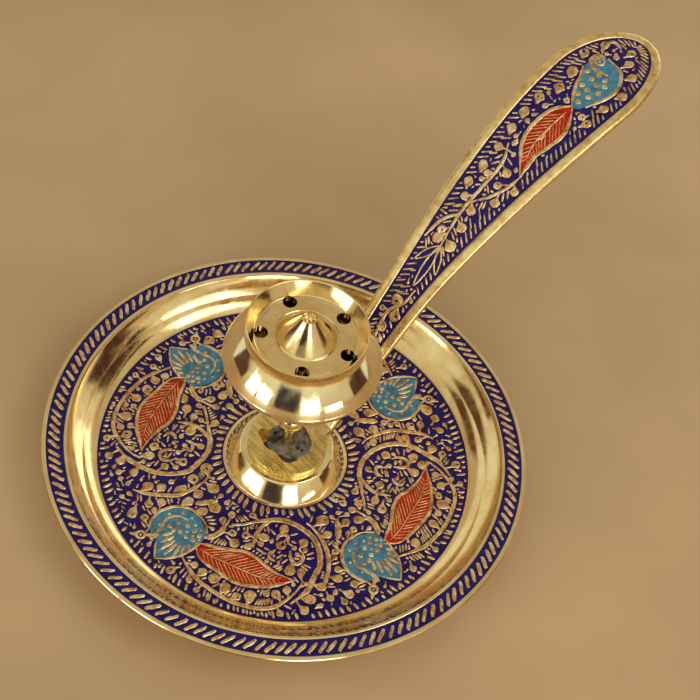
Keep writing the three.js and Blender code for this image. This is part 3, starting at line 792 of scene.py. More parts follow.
def course_at(line, k):
    """The heading of a line at one of its inner points."""
    ahead = line[k + 1] - line[k - 1]
    return math.atan2(ahead[1], ahead[0])


def unit(heading):
    """A flat vector of length 1 at a heading."""
    return np.array([math.cos(heading), math.sin(heading)])


def buds_along(field, line, rng, spacing, lengths):
    """Sets buds off a stem on both sides, each as long as its room allows."""
    along = lengths_along(line)
    stem_edge = 0.15
    distance = spacing * 0.6
    hand = 1
    while distance < along[-1] - 0.5:
        for turn in (hand, -hand):
            k = inner_point(along, distance + (0 if turn == hand else spacing * 0.45))
            course = course_at(line, k)
            lean = turn * math.radians(rng.uniform(42, 68))
            start = line[k] + stem_edge * unit(course + lean)
            for length in lengths:
                bend = -turn * rng.uniform(0.1, 0.9)
                width = length * rng.uniform(0.27, 0.42)
                if try_bud(field, start, course + lean, length, width, bend, 0.14, rng):
                    break
        distance += spacing
        hand = -hand


def hatch_along(field, line, reach, length, spacing, lean=1.15):
    """Short chased strokes on both sides of a line. They start a reach away from it, where there is room."""
    along = lengths_along(line)
    widths = np.array([0.15, 0.27, 0.25, 0.12])
    for distance in np.arange(spacing, along[-1], spacing):
        k = inner_point(along, distance)
        course = course_at(line, k)
        for turn in (1, -1):
            way = unit(course + turn * lean)
            for share in (1.5, 1, 0.6):
                start = line[k] + way * reach
                mark = np.linspace(start, start + way * length * share, len(widths))
                if field.free(mark, widths, 0.10):
                    field.stroke(mark, widths)
                    break


def scattered(field, rng, course, tries, lengths, spare):
    """Fills what is left with loose buds that follow a course, the longer ones first."""
    rows, columns = field.taken.shape
    for length in lengths:
        for _ in range(tries):
            i, j = rng.randrange(rows), rng.randrange(columns)
            if field.taken[i, j]:
                continue
            start = field.low + (np.array([i, j]) + 0.5) * CELL
            heading = course(start) + rng.gauss(0, 0.9)
            width = length * rng.uniform(0.20, 0.42)
            line = bud_line(start, heading, length, rng.uniform(-1.2, 1.2))
            widths = bud_widths(len(line), width, length, 0.15, rng.uniform(0.8, 1.8))
            if field.free(line, widths, spare):
                field.stroke(line, widths)
                spotted(field, line, width, rng)


def leaf(field, upper, lower, rib, colour, edge=0.44, vein_gap=1.05):
    """An almond leaf: a brass outline, a pool of red, and veins that slant to its tip."""
    top, bottom = flowing(upper), flowing(lower)
    outline = np.vstack([top, bottom[1:-1]])
    field.pool(outline, colour)
    middle = flowing(rib)
    along = lengths_along(middle)
    field.stroke(middle, tapered(middle, 0.18), height=RELIEF * 0.8)
    for distance in np.arange(1.2, along[-1] - 0.8, vein_gap):
        k = inner_point(along, distance)
        course = course_at(middle, k)
        for turn in (1, -1):
            way = unit(course + turn * VEIN_LEAN)
            reach = np.arange(0.3, 6, 0.2)[:, None]
            trail = middle[k] + way * reach
            within = inside(trail, outline)
            count = int(np.argmin(within)) if not within.all() else len(trail)
            if count > 4:
                mark = trail[: count - 1]
                field.stroke(mark, tapered(mark, 0.13, 0.5), height=RELIEF * 0.8)
    for side in (top, bottom):
        field.stroke(side, tapered(side, edge, 0.45))


def peacock_unit(field, heading, rng):
    """One quarter of the floor: a peacock, the leaf at its breast and the vine that curls round both."""

    def at(points, loose=0.0):
        """Flat points at the given places, which may stray a little."""
        placed = []
        for around, radius in points:
            angle = math.radians(heading - around + rng.uniform(-loose, loose))
            out = radius + rng.uniform(-loose, loose) * 0.3
            placed.append((out * math.cos(angle), out * math.sin(angle)))
        return placed

    field.pool(flowing(at(PEACOCK_EDGE), closed=True), "peacock")
    tail = flowing(at(PEACOCK_TAIL))
    front = flowing(at(PEACOCK_FRONT))
    back = flowing(at(PEACOCK_BACK))
    for line, width in ((tail, 0.30), (front, 0.28), (back, 0.38)):
        field.stroke(line, tapered(line, width, 0.6))
    wing = flowing(at(PEACOCK_WING))
    field.stroke(wing, 0.52 * np.linspace(1.1, 0.4, len(wing)))
    for start, end in PEACOCK_FEATHERS:
        feather = np.linspace(*at([start, end]), len(FEATHER_WIDTHS))
        field.stroke(feather, FEATHER_WIDTHS)
    for spot in PEACOCK_SPOTS:
        dot(field, at([spot])[0], SPOT_RADIUS)
    for spot in PEACOCK_DOTS:
        dot(field, at([spot])[0], DOT_RADIUS)
    eye = np.array(at([PEACOCK_EYE])[0])
    field.stroke(loop(eye, 0.92), 0.34, closed=True)
    dot(field, eye, 0.3)
    throat = flowing(at(PEACOCK_THROAT))
    field.stroke(throat, np.linspace(0.4, 0.55, len(throat)))
    beak = np.linspace(*at(PEACOCK_BEAK), len(BEAK_WIDTHS))
    field.stroke(beak, BEAK_WIDTHS)

    upper = at(LEAF_UPPER, 0.3)
    lower = [upper[-1], *at(LEAF_LOWER, 0.3), upper[0]]
    leaf(field, upper, lower, at(LEAF_RIB), "leaf")

    stems = []
    for places, width, loose in VINE_STEMS:
        stem = flowing(at(places, loose))
        field.stroke(stem, tapered(stem, 1.22 * width, 0.5))
        stems.append(stem)
    for around, radius, size in VINE_BUDS:
        placed_bud(field, at([(around, radius)], 0.4)[0], size * rng.uniform(0.92, 1.12), stems, rng)
    return stems + [back, flowing(upper), flowing(lower)]


def on_floor(flat):
    """Lays a flat drawing on the floor's enamel."""
    return flat + np.array([0, 0, DISH_FLOOR_Z - ENAMEL_BELOW])


def in_floor(points):
    """Which points lie in the floor's field, clear of its edges."""
    radius = np.hypot(points[:, 0], points[:, 1])
    return (radius > FLOOR_FIELD[0] + FLOOR_MARGINS[0]) & (radius < FLOOR_FIELD[1] - FLOOR_MARGINS[1])


floor_rng = random.Random(7)
floor_work = Field((-FLOOR_REACH, -FLOOR_REACH), (FLOOR_REACH, FLOOR_REACH), in_floor, on_floor)
floor_stems = []
for peacock_heading in PEACOCK_HEADINGS:
    floor_stems += peacock_unit(floor_work, peacock_heading, floor_rng)
for count, start_radius, direction, width, lengths in FLOOR_FRINGES:
    for k in range(count):
        angle = 2 * math.pi * (k + floor_rng.uniform(-0.15, 0.15)) / count
        way = unit(angle)
        for share in (1, 0.6):
            reach = direction * floor_rng.uniform(*lengths) * share
            slant = np.array([-way[1], way[0]]) * reach * 0.3
            end = way * (start_radius + reach) + slant
            mark = np.linspace(way * start_radius, end, len(FRINGE_SHAPE))
            if floor_work.free(mark[1:], np.full(len(mark) - 1, width), 0.08):
                floor_work.stroke(mark, width * FRINGE_SHAPE)
                break
for stem in floor_stems:
    buds_along(floor_work, stem, floor_rng, spacing=2.4, lengths=(3.4, 2.8, 2.3, 1.9, 1.5))
for stem in floor_stems:
    hatch_along(floor_work, stem, reach=0.8, length=1.2, spacing=0.8)


def outward(point):
    """The heading away from the middle of the floor."""
    return math.atan2(point[1], point[0])


loose_lengths = (2.8, 2.2, 1.7, 1.3, 1.0, 0.7)
scattered(floor_work, floor_rng, outward, tries=2600, lengths=loose_lengths, spare=0.13)


def chased_brass(name, stops, roughness):
    """Hand-chased brass in the enamel: rubbed bright on top, brown in its hollows and pitted."""
    gloss = (roughness - 0.08, roughness + 0.16)
    finish = mottled(name, stops, (620, 5, 0.7), (2600, 3, 0.6), gloss, (0.00008, 0.45))
    finish.plain("Metallic", 1)
    return finish.material


ornament_stops = [(0.36, ORNAMENT_DEEP), (0.49, ORNAMENT_MIDDLE), (0.63, ORNAMENT_BRIGHT)]
ornament_brass = chased_brass("ornament_brass", ornament_stops, 0.28)
leaf_red = enamel("leaf_red_enamel", RED_DEEP, RED_PALE, 0.3)
peacock_blue = enamel("peacock_blue_enamel", PEACOCK_DEEP, PEACOCK_PALE, 0.3)
floor_work.piece("floor_vine_work", ornament_brass, "polished_brass")
floor_work.pool_piece("floor_leaf_enamel", "leaf", leaf_red)
floor_work.pool_piece("floor_peacock_enamel", "peacock", peacock_blue)
floor_work.pool_piece("floor_bud_enamel", "navy", navy_enamel)


# Rope border of the rim: about 150 slanting strokes between two lines of enamel.
# They are chased one by one, so their lengths and slants differ a little.
ROPE_STROKES = 151
ROPE_INNER = 50.85
ROPE_OUTER = 53.35
ROPE_SLANT = math.radians(2.3)


def on_rim(flat):
    """Lays a flat drawing on the rim's enamel."""
    return flat + np.array([0, 0, PLATE_RIM_Z - ENAMEL_BELOW])


def in_rim(points):
    """Which points lie in the rim's field."""
    radius = np.hypot(points[:, 0], points[:, 1])
    return (radius > RIM_FIELD[0]) & (radius < RIM_FIELD[1])


rope_rng = random.Random(11)
rope_work = Field((-PLATE_RADIUS, -PLATE_RADIUS), (PLATE_RADIUS, PLATE_RADIUS), in_rim, on_rim)
for k in range(ROPE_STROKES):
    angle = 2 * math.pi * (k + rope_rng.uniform(-0.06, 0.06)) / ROPE_STROKES
    slant = ROPE_SLANT * rope_rng.uniform(0.85, 1.1)
    inner = ROPE_INNER + rope_rng.uniform(-0.1, 0.15)
    outer = ROPE_OUTER + rope_rng.uniform(-0.15, 0.1)
    marks = []
    shares = np.linspace(0, 1, 8)
    for share in shares:
        sway = (3 * share * share - 2 * share**3) * 0.5 + share * 0.5
        radius = inner + (outer - inner) * share
        marks.append((radius * math.cos(angle - slant * sway), radius * math.sin(angle - slant * sway)))
    width = rope_rng.uniform(0.40, 0.50)
    rope_work.stroke(np.array(marks), width * np.sin(np.pi * (0.06 + 0.88 * shares)) ** 0.25)
rope_work.piece("rim_rope_work", ornament_brass, "polished_brass")


# Pedestal: a hollow domed foot, turned and polished, that lifts the handle's disc off the plate.
# A thin lip runs round its base.
PEDESTAL_RADIUS = 13.8
PEDESTAL_TOP_RADIUS = 10.6
PEDESTAL_WALL = 1.1
PEDESTAL_LIP_Z = 5.65
DOME_LEANS = (33, 43)
DOME_HOLLOW_LEANS = (27, 47)
DISC_BOTTOM_Z = 9.7
POLISHED_LIGHT = (0.93, 0.82, 0.53, 1)
POLISHED_DEEP = (0.85, 0.69, 0.40, 1)

polish = (POLISHED_LIGHT, POLISHED_DEEP)
bright_brass = turned_brass("bright_brass", *polish, 0.08, lathe_marks=0.05, tarnish=0.2)
dome_foot = (PEDESTAL_RADIUS - 0.2, PEDESTAL_LIP_Z + 0.04)
dome_top = (PEDESTAL_TOP_RADIUS, DISC_BOTTOM_Z - 0.15)
hollow_rim = (PEDESTAL_RADIUS - PEDESTAL_WALL, DISH_FLOOR_Z)
hollow_top = (PEDESTAL_TOP_RADIUS - PEDESTAL_WALL, DISC_BOTTOM_Z - PEDESTAL_WALL)
pedestal_profile = [
    hollow_rim,
    (PEDESTAL_RADIUS, DISH_FLOOR_Z, 0.2),
    (PEDESTAL_RADIUS, PEDESTAL_LIP_Z, 0.1),
    dome_foot,
    *shoulder(dome_foot, dome_top, *DOME_LEANS, 24),
    (PEDESTAL_TOP_RADIUS - 0.2, DISC_BOTTOM_Z, 0.1),
    (ROD_HOLE, DISC_BOTTOM_Z),
    (ROD_HOLE, DISC_BOTTOM_Z - PEDESTAL_WALL),
    *reversed(shoulder(hollow_rim, hollow_top, *DOME_HOLLOW_LEANS, 12)),
]
pedestal = add_piece("domed_foot", *turned(eased(pedestal_profile)), bright_brass, "polished_brass", sharp=35)
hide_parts("pedestal")


# Neck: the turned stem under the head, with a ball at its foot. It is polished all over.
# A hole runs through it for the rod.
NECK_BOTTOM_Z = 16.9
NECK_TOP_Z = 34.9
NECK_BEAD_RADIUS = 3
NECK_BEAD_Z = NECK_BOTTOM_Z + 2.8
NECK_WAIST_RADIUS = 1.95
NECK_TOP_RADIUS = 3.6
UPPER_ROD_HOLE = 1.25
NECK_AROUND = 96

bead_arc = [math.radians(a) for a in np.linspace(-62, 62, 24)]
neck_waist = (NECK_WAIST_RADIUS, NECK_BEAD_Z + NECK_BEAD_RADIUS * 1.5)
neck_flare = []
for t in np.linspace(0.11, math.pi / 2, 14):
    out, up = NECK_TOP_RADIUS - 0.3 - NECK_WAIST_RADIUS, NECK_TOP_Z - 1.4 - neck_waist[1]
    neck_flare.append((NECK_WAIST_RADIUS + out * (1 - math.cos(t)), neck_waist[1] + up * math.sin(t)))
neck_profile = [
    (UPPER_ROD_HOLE, NECK_BOTTOM_Z),
    (NECK_WAIST_RADIUS - 0.1, NECK_BOTTOM_Z, 0.1),
    *[(NECK_BEAD_RADIUS * math.cos(a), NECK_BEAD_Z + NECK_BEAD_RADIUS * math.sin(a)) for a in bead_arc],
    neck_waist,
    *neck_flare,
    (NECK_TOP_RADIUS, NECK_TOP_Z - 1, 0.15),
    (NECK_TOP_RADIUS, NECK_TOP_Z, 0.1),
    (UPPER_ROD_HOLE, NECK_TOP_Z),
]
neck_mesh = turned(eased(neck_profile), NECK_AROUND)
neck = add_piece("turned_neck", *neck_mesh, bright_brass, "polished_brass", sharp=35)
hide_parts("neck")


# Head bowl: a squat hollow bowl, spun and polished to a mirror, open at the top for the cap.
# A small rounded lip runs round its widest ring.
BOWL_RADIUS = 17.1
BOWL_EQUATOR_Z = 43.3
BOWL_LIP_Z = 42.1
BOWL_LIP_STEP = 0.45
BOWL_WALL = 1.4
BOWL_MOUTH_RADIUS = 12.95
BOWL_MOUTH_Z = 49.0
SHOULDER_FOOT_STEP = (1.75, 2.8)
EDGE_LEANS = (20, 37)
SHOULDER_LEANS = (37.5, 41.5)


def bowl_side(inset, lip, steps):
    """The bowl's side from seat to mouth: half an ellipse up to the lip, then the shoulder above it."""
    under, depth = BOWL_RADIUS - BOWL_LIP_STEP - inset, BOWL_LIP_Z - NECK_TOP_Z - inset
    seat = math.acos((NECK_TOP_RADIUS + 0.6) / under)
    side = []
    for i in range(steps + 1):
        angle = seat * (1 - i / steps)
        side.append((under * math.cos(angle), BOWL_LIP_Z - depth * math.sin(angle)))
    foot = (BOWL_RADIUS - SHOULDER_FOOT_STEP[0] - inset, BOWL_EQUATOR_Z + SHOULDER_FOOT_STEP[1])
    mouth = (BOWL_MOUTH_RADIUS - inset, BOWL_MOUTH_Z)
    edge = shoulder(lip[-1], foot, *EDGE_LEANS, 16) if lip else [foot]
    return side + lip + edge + shoulder(foot, mouth, *SHOULDER_LEANS, steps)


bowl_lip = [(BOWL_RADIUS - 0.25, BOWL_LIP_Z + 0.03), (BOWL_RADIUS - 0.06, BOWL_LIP_Z + 0.2)]
bowl_lip += [(BOWL_RADIUS, BOWL_LIP_Z + 0.42), (BOWL_RADIUS - 0.05, BOWL_LIP_Z + 0.65)]
bowl_lip += [(BOWL_RADIUS - 0.16, BOWL_LIP_Z + 0.8)]
bowl_inner = bowl_side(BOWL_WALL, [], 20)
bowl_profile = [
    (UPPER_ROD_HOLE, NECK_TOP_Z),
    (NECK_TOP_RADIUS + 0.2, NECK_TOP_Z),
    *bowl_side(0, bowl_lip, 40),
    *reversed(bowl_inner),
    (UPPER_ROD_HOLE, bowl_inner[0][1]),
]
bowl = add_piece("polished_bowl", *turned(bowl_profile), bright_brass, "polished_brass", sharp=35)
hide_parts("head_bowl")


# Head cap: a turned lid like a saucer, with a floor drilled for five sticks and a cone in the middle.
# The drill left the holes' edges sharp, and fine rings are cut round the floor and the cone's foot.
CAP_RADIUS = 13.15
CAP_FOOT_RADIUS = 12.8
CAP_RIM_WIDTH = 0.4
CAP_TOP_Z = 52.6
CAP_FLOOR_RADIUS = 11
RECESS_FLOOR_Z = 49.6
CAP_PLATE_BOTTOM_Z = 48.1
SPIGOT_RADIUS = 11.25
CONE_RADIUS = 6.3
CONE_TOP_RADIUS = 1.7
CONE_TOP_Z = 55.7
CONE_SAG = 0.12
STICK_HOLE_RADIUS = 1.55
STICK_HOLE_CIRCLE = 9.6
STICK_HOLE_ANGLES = [-9, 68, 135, 221, 290]
CAP_AROUND = 192
HOLE_AROUND = 48
CAP_LIGHT = (0.87, 0.71, 0.40, 1)
CAP_DEEP = (0.74, 0.54, 0.26, 1)

cone_side = []
for share in np.linspace(0, 1, 24):
    radius = CONE_RADIUS + (CONE_TOP_RADIUS - CONE_RADIUS) * share - CONE_SAG * math.sin(math.pi * share)
    cone_side.append((radius, RECESS_FLOOR_Z + 0.15 + (CONE_TOP_Z - RECESS_FLOOR_Z - 0.15) * share))
cap_profile = [
    (UPPER_ROD_HOLE, CAP_PLATE_BOTTOM_Z),
    (SPIGOT_RADIUS, CAP_PLATE_BOTTOM_Z, 0.2),
    (SPIGOT_RADIUS, BOWL_MOUTH_Z),
    (CAP_FOOT_RADIUS, BOWL_MOUTH_Z, 0.15),
    (CAP_RADIUS, CAP_TOP_Z, 0.22),
    (CAP_RADIUS - CAP_RIM_WIDTH, CAP_TOP_Z, 0.22),
    (CAP_FLOOR_RADIUS, RECESS_FLOOR_Z, 0.45),
    (CAP_FLOOR_RADIUS - 0.6, RECESS_FLOOR_Z),
    (CAP_FLOOR_RADIUS - 0.66, RECESS_FLOOR_Z - 0.07, 0.03),
    (CAP_FLOOR_RADIUS - 0.74, RECESS_FLOOR_Z - 0.07, 0.03),
    (CAP_FLOOR_RADIUS - 0.8, RECESS_FLOOR_Z),
    (CONE_RADIUS + 0.7, RECESS_FLOOR_Z),
    (CONE_RADIUS + 0.55, RECESS_FLOOR_Z - 0.12, 0.05),
    (CONE_RADIUS + 0.25, RECESS_FLOOR_Z - 0.12, 0.05),
    (CONE_RADIUS + 0.2, RECESS_FLOOR_Z),
    *cone_side,
    (UPPER_ROD_HOLE, CONE_TOP_Z),
]
cap_brass = turned_brass("cap_brass", CAP_LIGHT, CAP_DEEP, 0.13, lathe_marks=0.20, tarnish=0.3)
cap_mesh = turned(eased(cap_profile), CAP_AROUND)
cap = add_piece("drilled_cap", *cap_mesh, cap_brass, "polished_brass", sharp=30)

drill_core = 0.001
drill_bottom, drill_top = CAP_PLATE_BOTTOM_Z - 1, RECESS_FLOOR_Z + 2
drill_profile = [(drill_core, drill_bottom), (STICK_HOLE_RADIUS, drill_bottom)]
drill_profile += [(STICK_HOLE_RADIUS, drill_top), (drill_core, drill_top)]
one_drill, one_drill_faces = turned(drill_profile, HOLE_AROUND)
drill_vertices, drill_faces = [], []
for degrees in STICK_HOLE_ANGLES:
    angle = math.radians(degrees)
    x, y = STICK_HOLE_CIRCLE * math.cos(angle), STICK_HOLE_CIRCLE * math.sin(angle)
    first = len(drill_vertices)
    drill_vertices += [(vx + x, vy + y, vz) for vx, vy, vz in one_drill]
    drill_faces += [tuple(first + k for k in face) for face in one_drill_faces]


def cut_or_join(piece, tool, operation):
    """Cuts one mesh with another or joins the two, and removes the second."""
    modifier = piece.modifiers.new("cut", "BOOLEAN")
    modifier.operation = operation
    modifier.solver = "EXACT"
    modifier.material_mode = "TRANSFER"
    modifier.object = tool
    bpy.context.view_layer.update()
    done = bpy.data.meshes.new_from_object(piece.evaluated_get(bpy.context.evaluated_depsgraph_get()))
    piece.modifiers.clear()
    piece.data = done
    bpy.data.objects.remove(tool)


cut_or_join(cap, mesh_object("drill", drill_vertices, drill_faces), "DIFFERENCE")
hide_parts("head_cap")


# Centre rod: drawn brass, thick up to the neck and thin above, riveted over the cone as a fluted button.
# The nut and its washer under the plate draw the whole stand together.
ROD_RADIUS = 1.5
ROD_UPPER_RADIUS = 0.95
ROD_BOTTOM_Z = 0.6
BUTTON_RADIUS = 1.65
BUTTON_HEIGHT = 1.5
BUTTON_FLUTES = 9
FLUTE_DEPTH = 0.15
ROD_AROUND = 144
ROD_LIGHT = (0.80, 0.60, 0.30, 1)
ROD_DEEP = (0.50, 0.33, 0.14, 1)


def drawn_brass(name, light, deep):
    """Plain brass rod and fastener stock, dull from handling."""
    stops = [(0.35, deep), (0.65, light)]
    finish = mottled(name, stops, (500, 4, 0.6), (3000, 2, 0.6), (0.18, 0.36), (0.00003, 0.3))
    finish.plain("Metallic", 1)
    return finish.material


rod_brass = drawn_brass("rod_brass", ROD_LIGHT, ROD_DEEP)
button_side = []
for share in np.linspace(0, 1, 14):
    swell = math.sin(math.pi * (0.34 + 0.66 * share)) ** 0.6 if share < 1 else 0
    rise = (1 - math.cos(math.pi * share / 2)) ** 0.75
    button_side.append((BUTTON_RADIUS * swell, CONE_TOP_Z + BUTTON_HEIGHT * rise))
rod_profile = [
    (0, ROD_BOTTOM_Z),
    (ROD_RADIUS, ROD_BOTTOM_Z, 0.3),
    (ROD_RADIUS, NECK_BOTTOM_Z),
    (ROD_UPPER_RADIUS, NECK_BOTTOM_Z),
    (ROD_UPPER_RADIUS, CONE_TOP_Z),
    *button_side[:-1],
    (0, CONE_TOP_Z + BUTTON_HEIGHT),
]
rod_vertices, rod_faces = turned(eased(rod_profile), ROD_AROUND)
fluted = []
for x, y, z in rod_vertices:
    wave = 1 - math.cos(BUTTON_FLUTES * math.atan2(y, x))
    flute = 1 - FLUTE_DEPTH * wave if z > CONE_TOP_Z + 0.01 else 1
    fluted.append((x * flute, y * flute, z))
rod = add_piece("riveted_rod", fluted, rod_faces, rod_brass, "rod_brass", sharp=50)
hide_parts("centre_rod")
for node_name in ("washer", "nut"):
    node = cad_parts[node_name]
    node.data.materials.clear()
    node.data.materials.append(rod_brass)


# Solder joint: a grey, uneven pool of soft solder round the rod on the handle's disc, with dark flux and a
# rust stain round its edge.
# The solder's grey and black and the dark stains are partly their own colour and partly a painted reflection
# of the head's underside.
SOLDER_REACH = 6.0
SOLDER_GAP = 0.05
SOLDER_AROUND = 72
SOLDER_RINGS = [
    # share of the way from the rod to the edge, height over the disc
    (0, -0.02),
    (0, 0.5),
    (0.25, 0.62),
    (0.5, 0.42),
    (0.75, 0.3),
    (0.92, 0.16),
    (1, -0.02),
]
DISC_TOP_Z = 11.3
# The solder's shades: partly its own grey, partly a painted reflection of the head's underside in the disc.
SOLDER_AND_REFLECTION_SHADES = [
    (0.36, (0.010, 0.009, 0.014, 1)),
    (0.45, (0.13, 0.12, 0.105, 1)),
    (0.7, (0.29, 0.27, 0.21, 1)),
]
STAIN_AROUND = 48
# The dark stains (edge, bubble and pit) are partly burnt flux and partly a painted reflection of the head's
# underside; the orange one is rust.
FLUX_AND_REFLECTION_STAINS = [
    # name, heading in degrees, distance from the rod, reach, height, colour, roughness
    ("flux_edge_and_painted_reflection", 215, 0.4, 5.5, 0.05, (0.034, 0.026, 0.022), 0.35),
    ("flux_rust", 122, 5.1, 1.9, 0.12, (0.44, 0.18, 0.024), 0.45),
    ("flux_bubble_and_painted_reflection", 140, 3.2, 1.5, 0.62, (0.020, 0.016, 0.030), 0.25),
    ("flux_pit_and_painted_reflection", 272, 3.0, 0.7, 0.66, (0.020, 0.018, 0.035), 0.25),
]


def crusted(name, stops, clouds, roughness, relief, metallic=0):
    """A lumpy finish, whose colour and relief drift in the same clouds."""
    finish = Finish(name)
    lumps = finish.noise(finish.place, *clouds)
    finish.ramp(lumps, stops, "Base Color")
    finish.plain("Roughness", roughness)
    finish.plain("Metallic", metallic)
    finish.relief(lumps, *relief)
    return finish.material


solder_vertices, solder_faces = [], []
for k in range(SOLDER_AROUND):
    angle = 2 * math.pi * k / SOLDER_AROUND
    ripple = 0.09 * math.sin(angle + 2.1) + 0.04 * math.sin(3 * angle) + 0.02 * math.sin(5 * angle)
    reach = SOLDER_REACH * (0.84 + ripple)
    for share, rise in SOLDER_RINGS:
        out = ROD_RADIUS + SOLDER_GAP + (reach - ROD_RADIUS - SOLDER_GAP) * share
        wave = 1 + 0.15 * math.sin(4 * angle + 3 * share) * (rise > 0)
        solder_vertices.append((out * math.cos(angle), out * math.sin(angle), DISC_TOP_Z + rise * wave))
for k in range(SOLDER_AROUND):
    count = len(SOLDER_RINGS)
    here, there = k * count, (k + 1) % SOLDER_AROUND * count
    for i in range(count):
        j = (i + 1) % count
        solder_faces.append((here + i, here + j, there + j, there + i))
# This finish is partly solder and partly a painted reflection of the head's underside.
solder_and_painted_reflection = crusted("solder_and_painted_reflection", SOLDER_AND_REFLECTION_SHADES, (520, 4, 0.6), 0.36, (0.0004, 0.7), 0.6)
solder = add_piece("solder_pool", solder_vertices, solder_faces, solder_and_painted_reflection, "solder", sharp=60)
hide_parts("solder_joint")


def stain(name, heading, distance, reach, height, colour, roughness):
    """A thin uneven puddle on the disc, at a heading in degrees and a distance from the rod. It is burnt
    flux, and the dark ones are also a painted reflection of the head's underside.
    """
    around = math.radians(heading)
    middle = np.array((distance * math.cos(around), distance * math.sin(around)))
    count = STAIN_AROUND
    angles = np.linspace(0, 2 * math.pi, count, endpoint=False)
    edge = reach * (1 + 0.12 * np.sin(3 * angles + heading) + 0.07 * np.sin(5 * angles + 1))
    vertices = [(*middle, DISC_TOP_Z + height)]
    for share, rise in ((0.75, 0.9 * height), (1, -0.03)):
        flat = middle + share * edge[:, None] * np.stack([np.cos(angles), np.sin(angles)], axis=1)
        vertices += [(x, y, DISC_TOP_Z + rise) for x, y in flat]
    ring = [(1 + k, 1 + (k + 1) % count) for k in range(count)]
    faces = [(0, here, there) for here, there in ring]
    faces += [(here, here + count, there + count, there) for here, there in ring]
    # In the dark stains this colour is partly flux and partly a painted reflection of the head's underside.
    stops = [(0.38, (*(0.25 * c for c in colour), 1)), (0.6, (*colour, 1))]
    puddle_finish = crusted(name, stops, (700, 4, 0.65), roughness, (0.0002, 0.6))
    add_piece(name, vertices, faces, puddle_finish, sharp=60)


for one_stain in FLUX_AND_REFLECTION_STAINS:
    stain(*one_stain)


# Handle: one strip of brass sheet with a disc at its root, bent up and arched over, its tip rounded.
# Its border stands round and worn beside the sunk field, and the disc keeps the marks of a coarse file.
HANDLE_HALF_THICKNESS = 0.8
HANDLE_DISC_RADIUS = 9.1
HANDLE_DISC_AROUND = 128
HANDLE_MIDDLE_Z = 10.5
HANDLE_LENGTH = 119
HANDLE_BEND_START = 9.4
HANDLE_BEND_RADIUS = 1.5
HANDLE_START_ANGLE = math.radians(57.5)
HANDLE_TURN = math.radians(58.3)
HANDLE_ARCH_POWER = 1.54
HANDLE_HALF_WIDTHS = [(0, 4.2), (20, 5.15), (39.7, 6.24), (60, 8.4), (79.3, 10.42), (90, 11.25), (99, 11.65)]
HANDLE_TIP_START = 99
HANDLE_REACH = 12
HANDLE_ROOT = -5.9
HANDLE_BORDER = 2.35
FIELD_STEP = (2.9, 3.05)
FIELD_PART_START = 2.98
BORDER_START = (1.2, 3.0)
BORDER_RINGS = [
    # distance inside the outline, then heights over the strip's middle beside the field and at the root
    (0.30, -0.80, -0.80),
    (0.08, -0.72, -0.72),
    (0.00, -0.50, -0.50),
    (0.00, 0.15, 0.50),
    (0.10, 0.45, 0.72),
    (0.35, 0.68, 0.80),
    (0.90, 0.77, 0.80),
    (1.60, 0.80, 0.80),
    (2.05, 0.76, 0.80),
    (2.27, 0.62, 0.80),
]
STRIP_LIGHT = (0.90, 0.69, 0.35, 1)
STRIP_DEEP = (0.62, 0.42, 0.17, 1)
DISC_LIGHT = (0.92, 0.76, 0.32, 1)
DISC_DEEP = (0.40, 0.27, 0.09, 1)

bend_length = HANDLE_BEND_RADIUS * HANDLE_START_ANGLE
arch_along = np.linspace(0, HANDLE_LENGTH, 601)
arch_middles = (arch_along[1:] + arch_along[:-1]) / 2 / HANDLE_LENGTH
arch_angles = HANDLE_START_ANGLE - HANDLE_TURN * arch_middles**HANDLE_ARCH_POWER
arch_steps = np.diff(arch_along)
arch_x = HANDLE_BEND_START + HANDLE_BEND_RADIUS * math.sin(HANDLE_START_ANGLE)
arch_x = arch_x + np.concatenate([[0], np.cumsum(arch_steps * np.cos(arch_angles))])
arch_z = HANDLE_BEND_RADIUS * (1 - math.cos(HANDLE_START_ANGLE))
arch_z = arch_z + np.concatenate([[0], np.cumsum(arch_steps * np.sin(arch_angles))])


def on_handle(flat):
    """Bends a flat drawing of the strip: along it from the bend, across it, and above its middle."""
    along, across, rise = np.asarray(flat, float).T
    early = np.clip((along + bend_length) / HANDLE_BEND_RADIUS, 0, HANDLE_START_ANGLE)
    late = HANDLE_START_ANGLE - HANDLE_TURN * np.clip(along / HANDLE_LENGTH, 0, 1) ** HANDLE_ARCH_POWER
    angle = np.where(along < 0, early, late)
    early_x = HANDLE_BEND_START + np.minimum(along + bend_length, 0) + HANDLE_BEND_RADIUS * np.sin(early)
    early_z = HANDLE_BEND_RADIUS * (1 - np.cos(early))
    x = np.where(along < 0, early_x, np.interp(along, arch_along, arch_x))
    z = np.where(along < 0, early_z, np.interp(along, arch_along, arch_z))
    return np.column_stack([x - np.sin(angle) * rise, across, HANDLE_MIDDLE_Z + z + np.cos(angle) * rise])


def drawn_in(line, distance):
    """A closed line that runs a distance inside another, which is listed anticlockwise."""
    ahead = np.roll(line, -1, 0) - line
    ahead /= np.linalg.norm(ahead, axis=1, keepdims=True)
    ahead = ahead + np.roll(ahead, 1, 0)
    ahead /= np.linalg.norm(ahead, axis=1, keepdims=True)
    return line + distance * np.stack([-ahead[:, 1], ahead[:, 0]], axis=1)


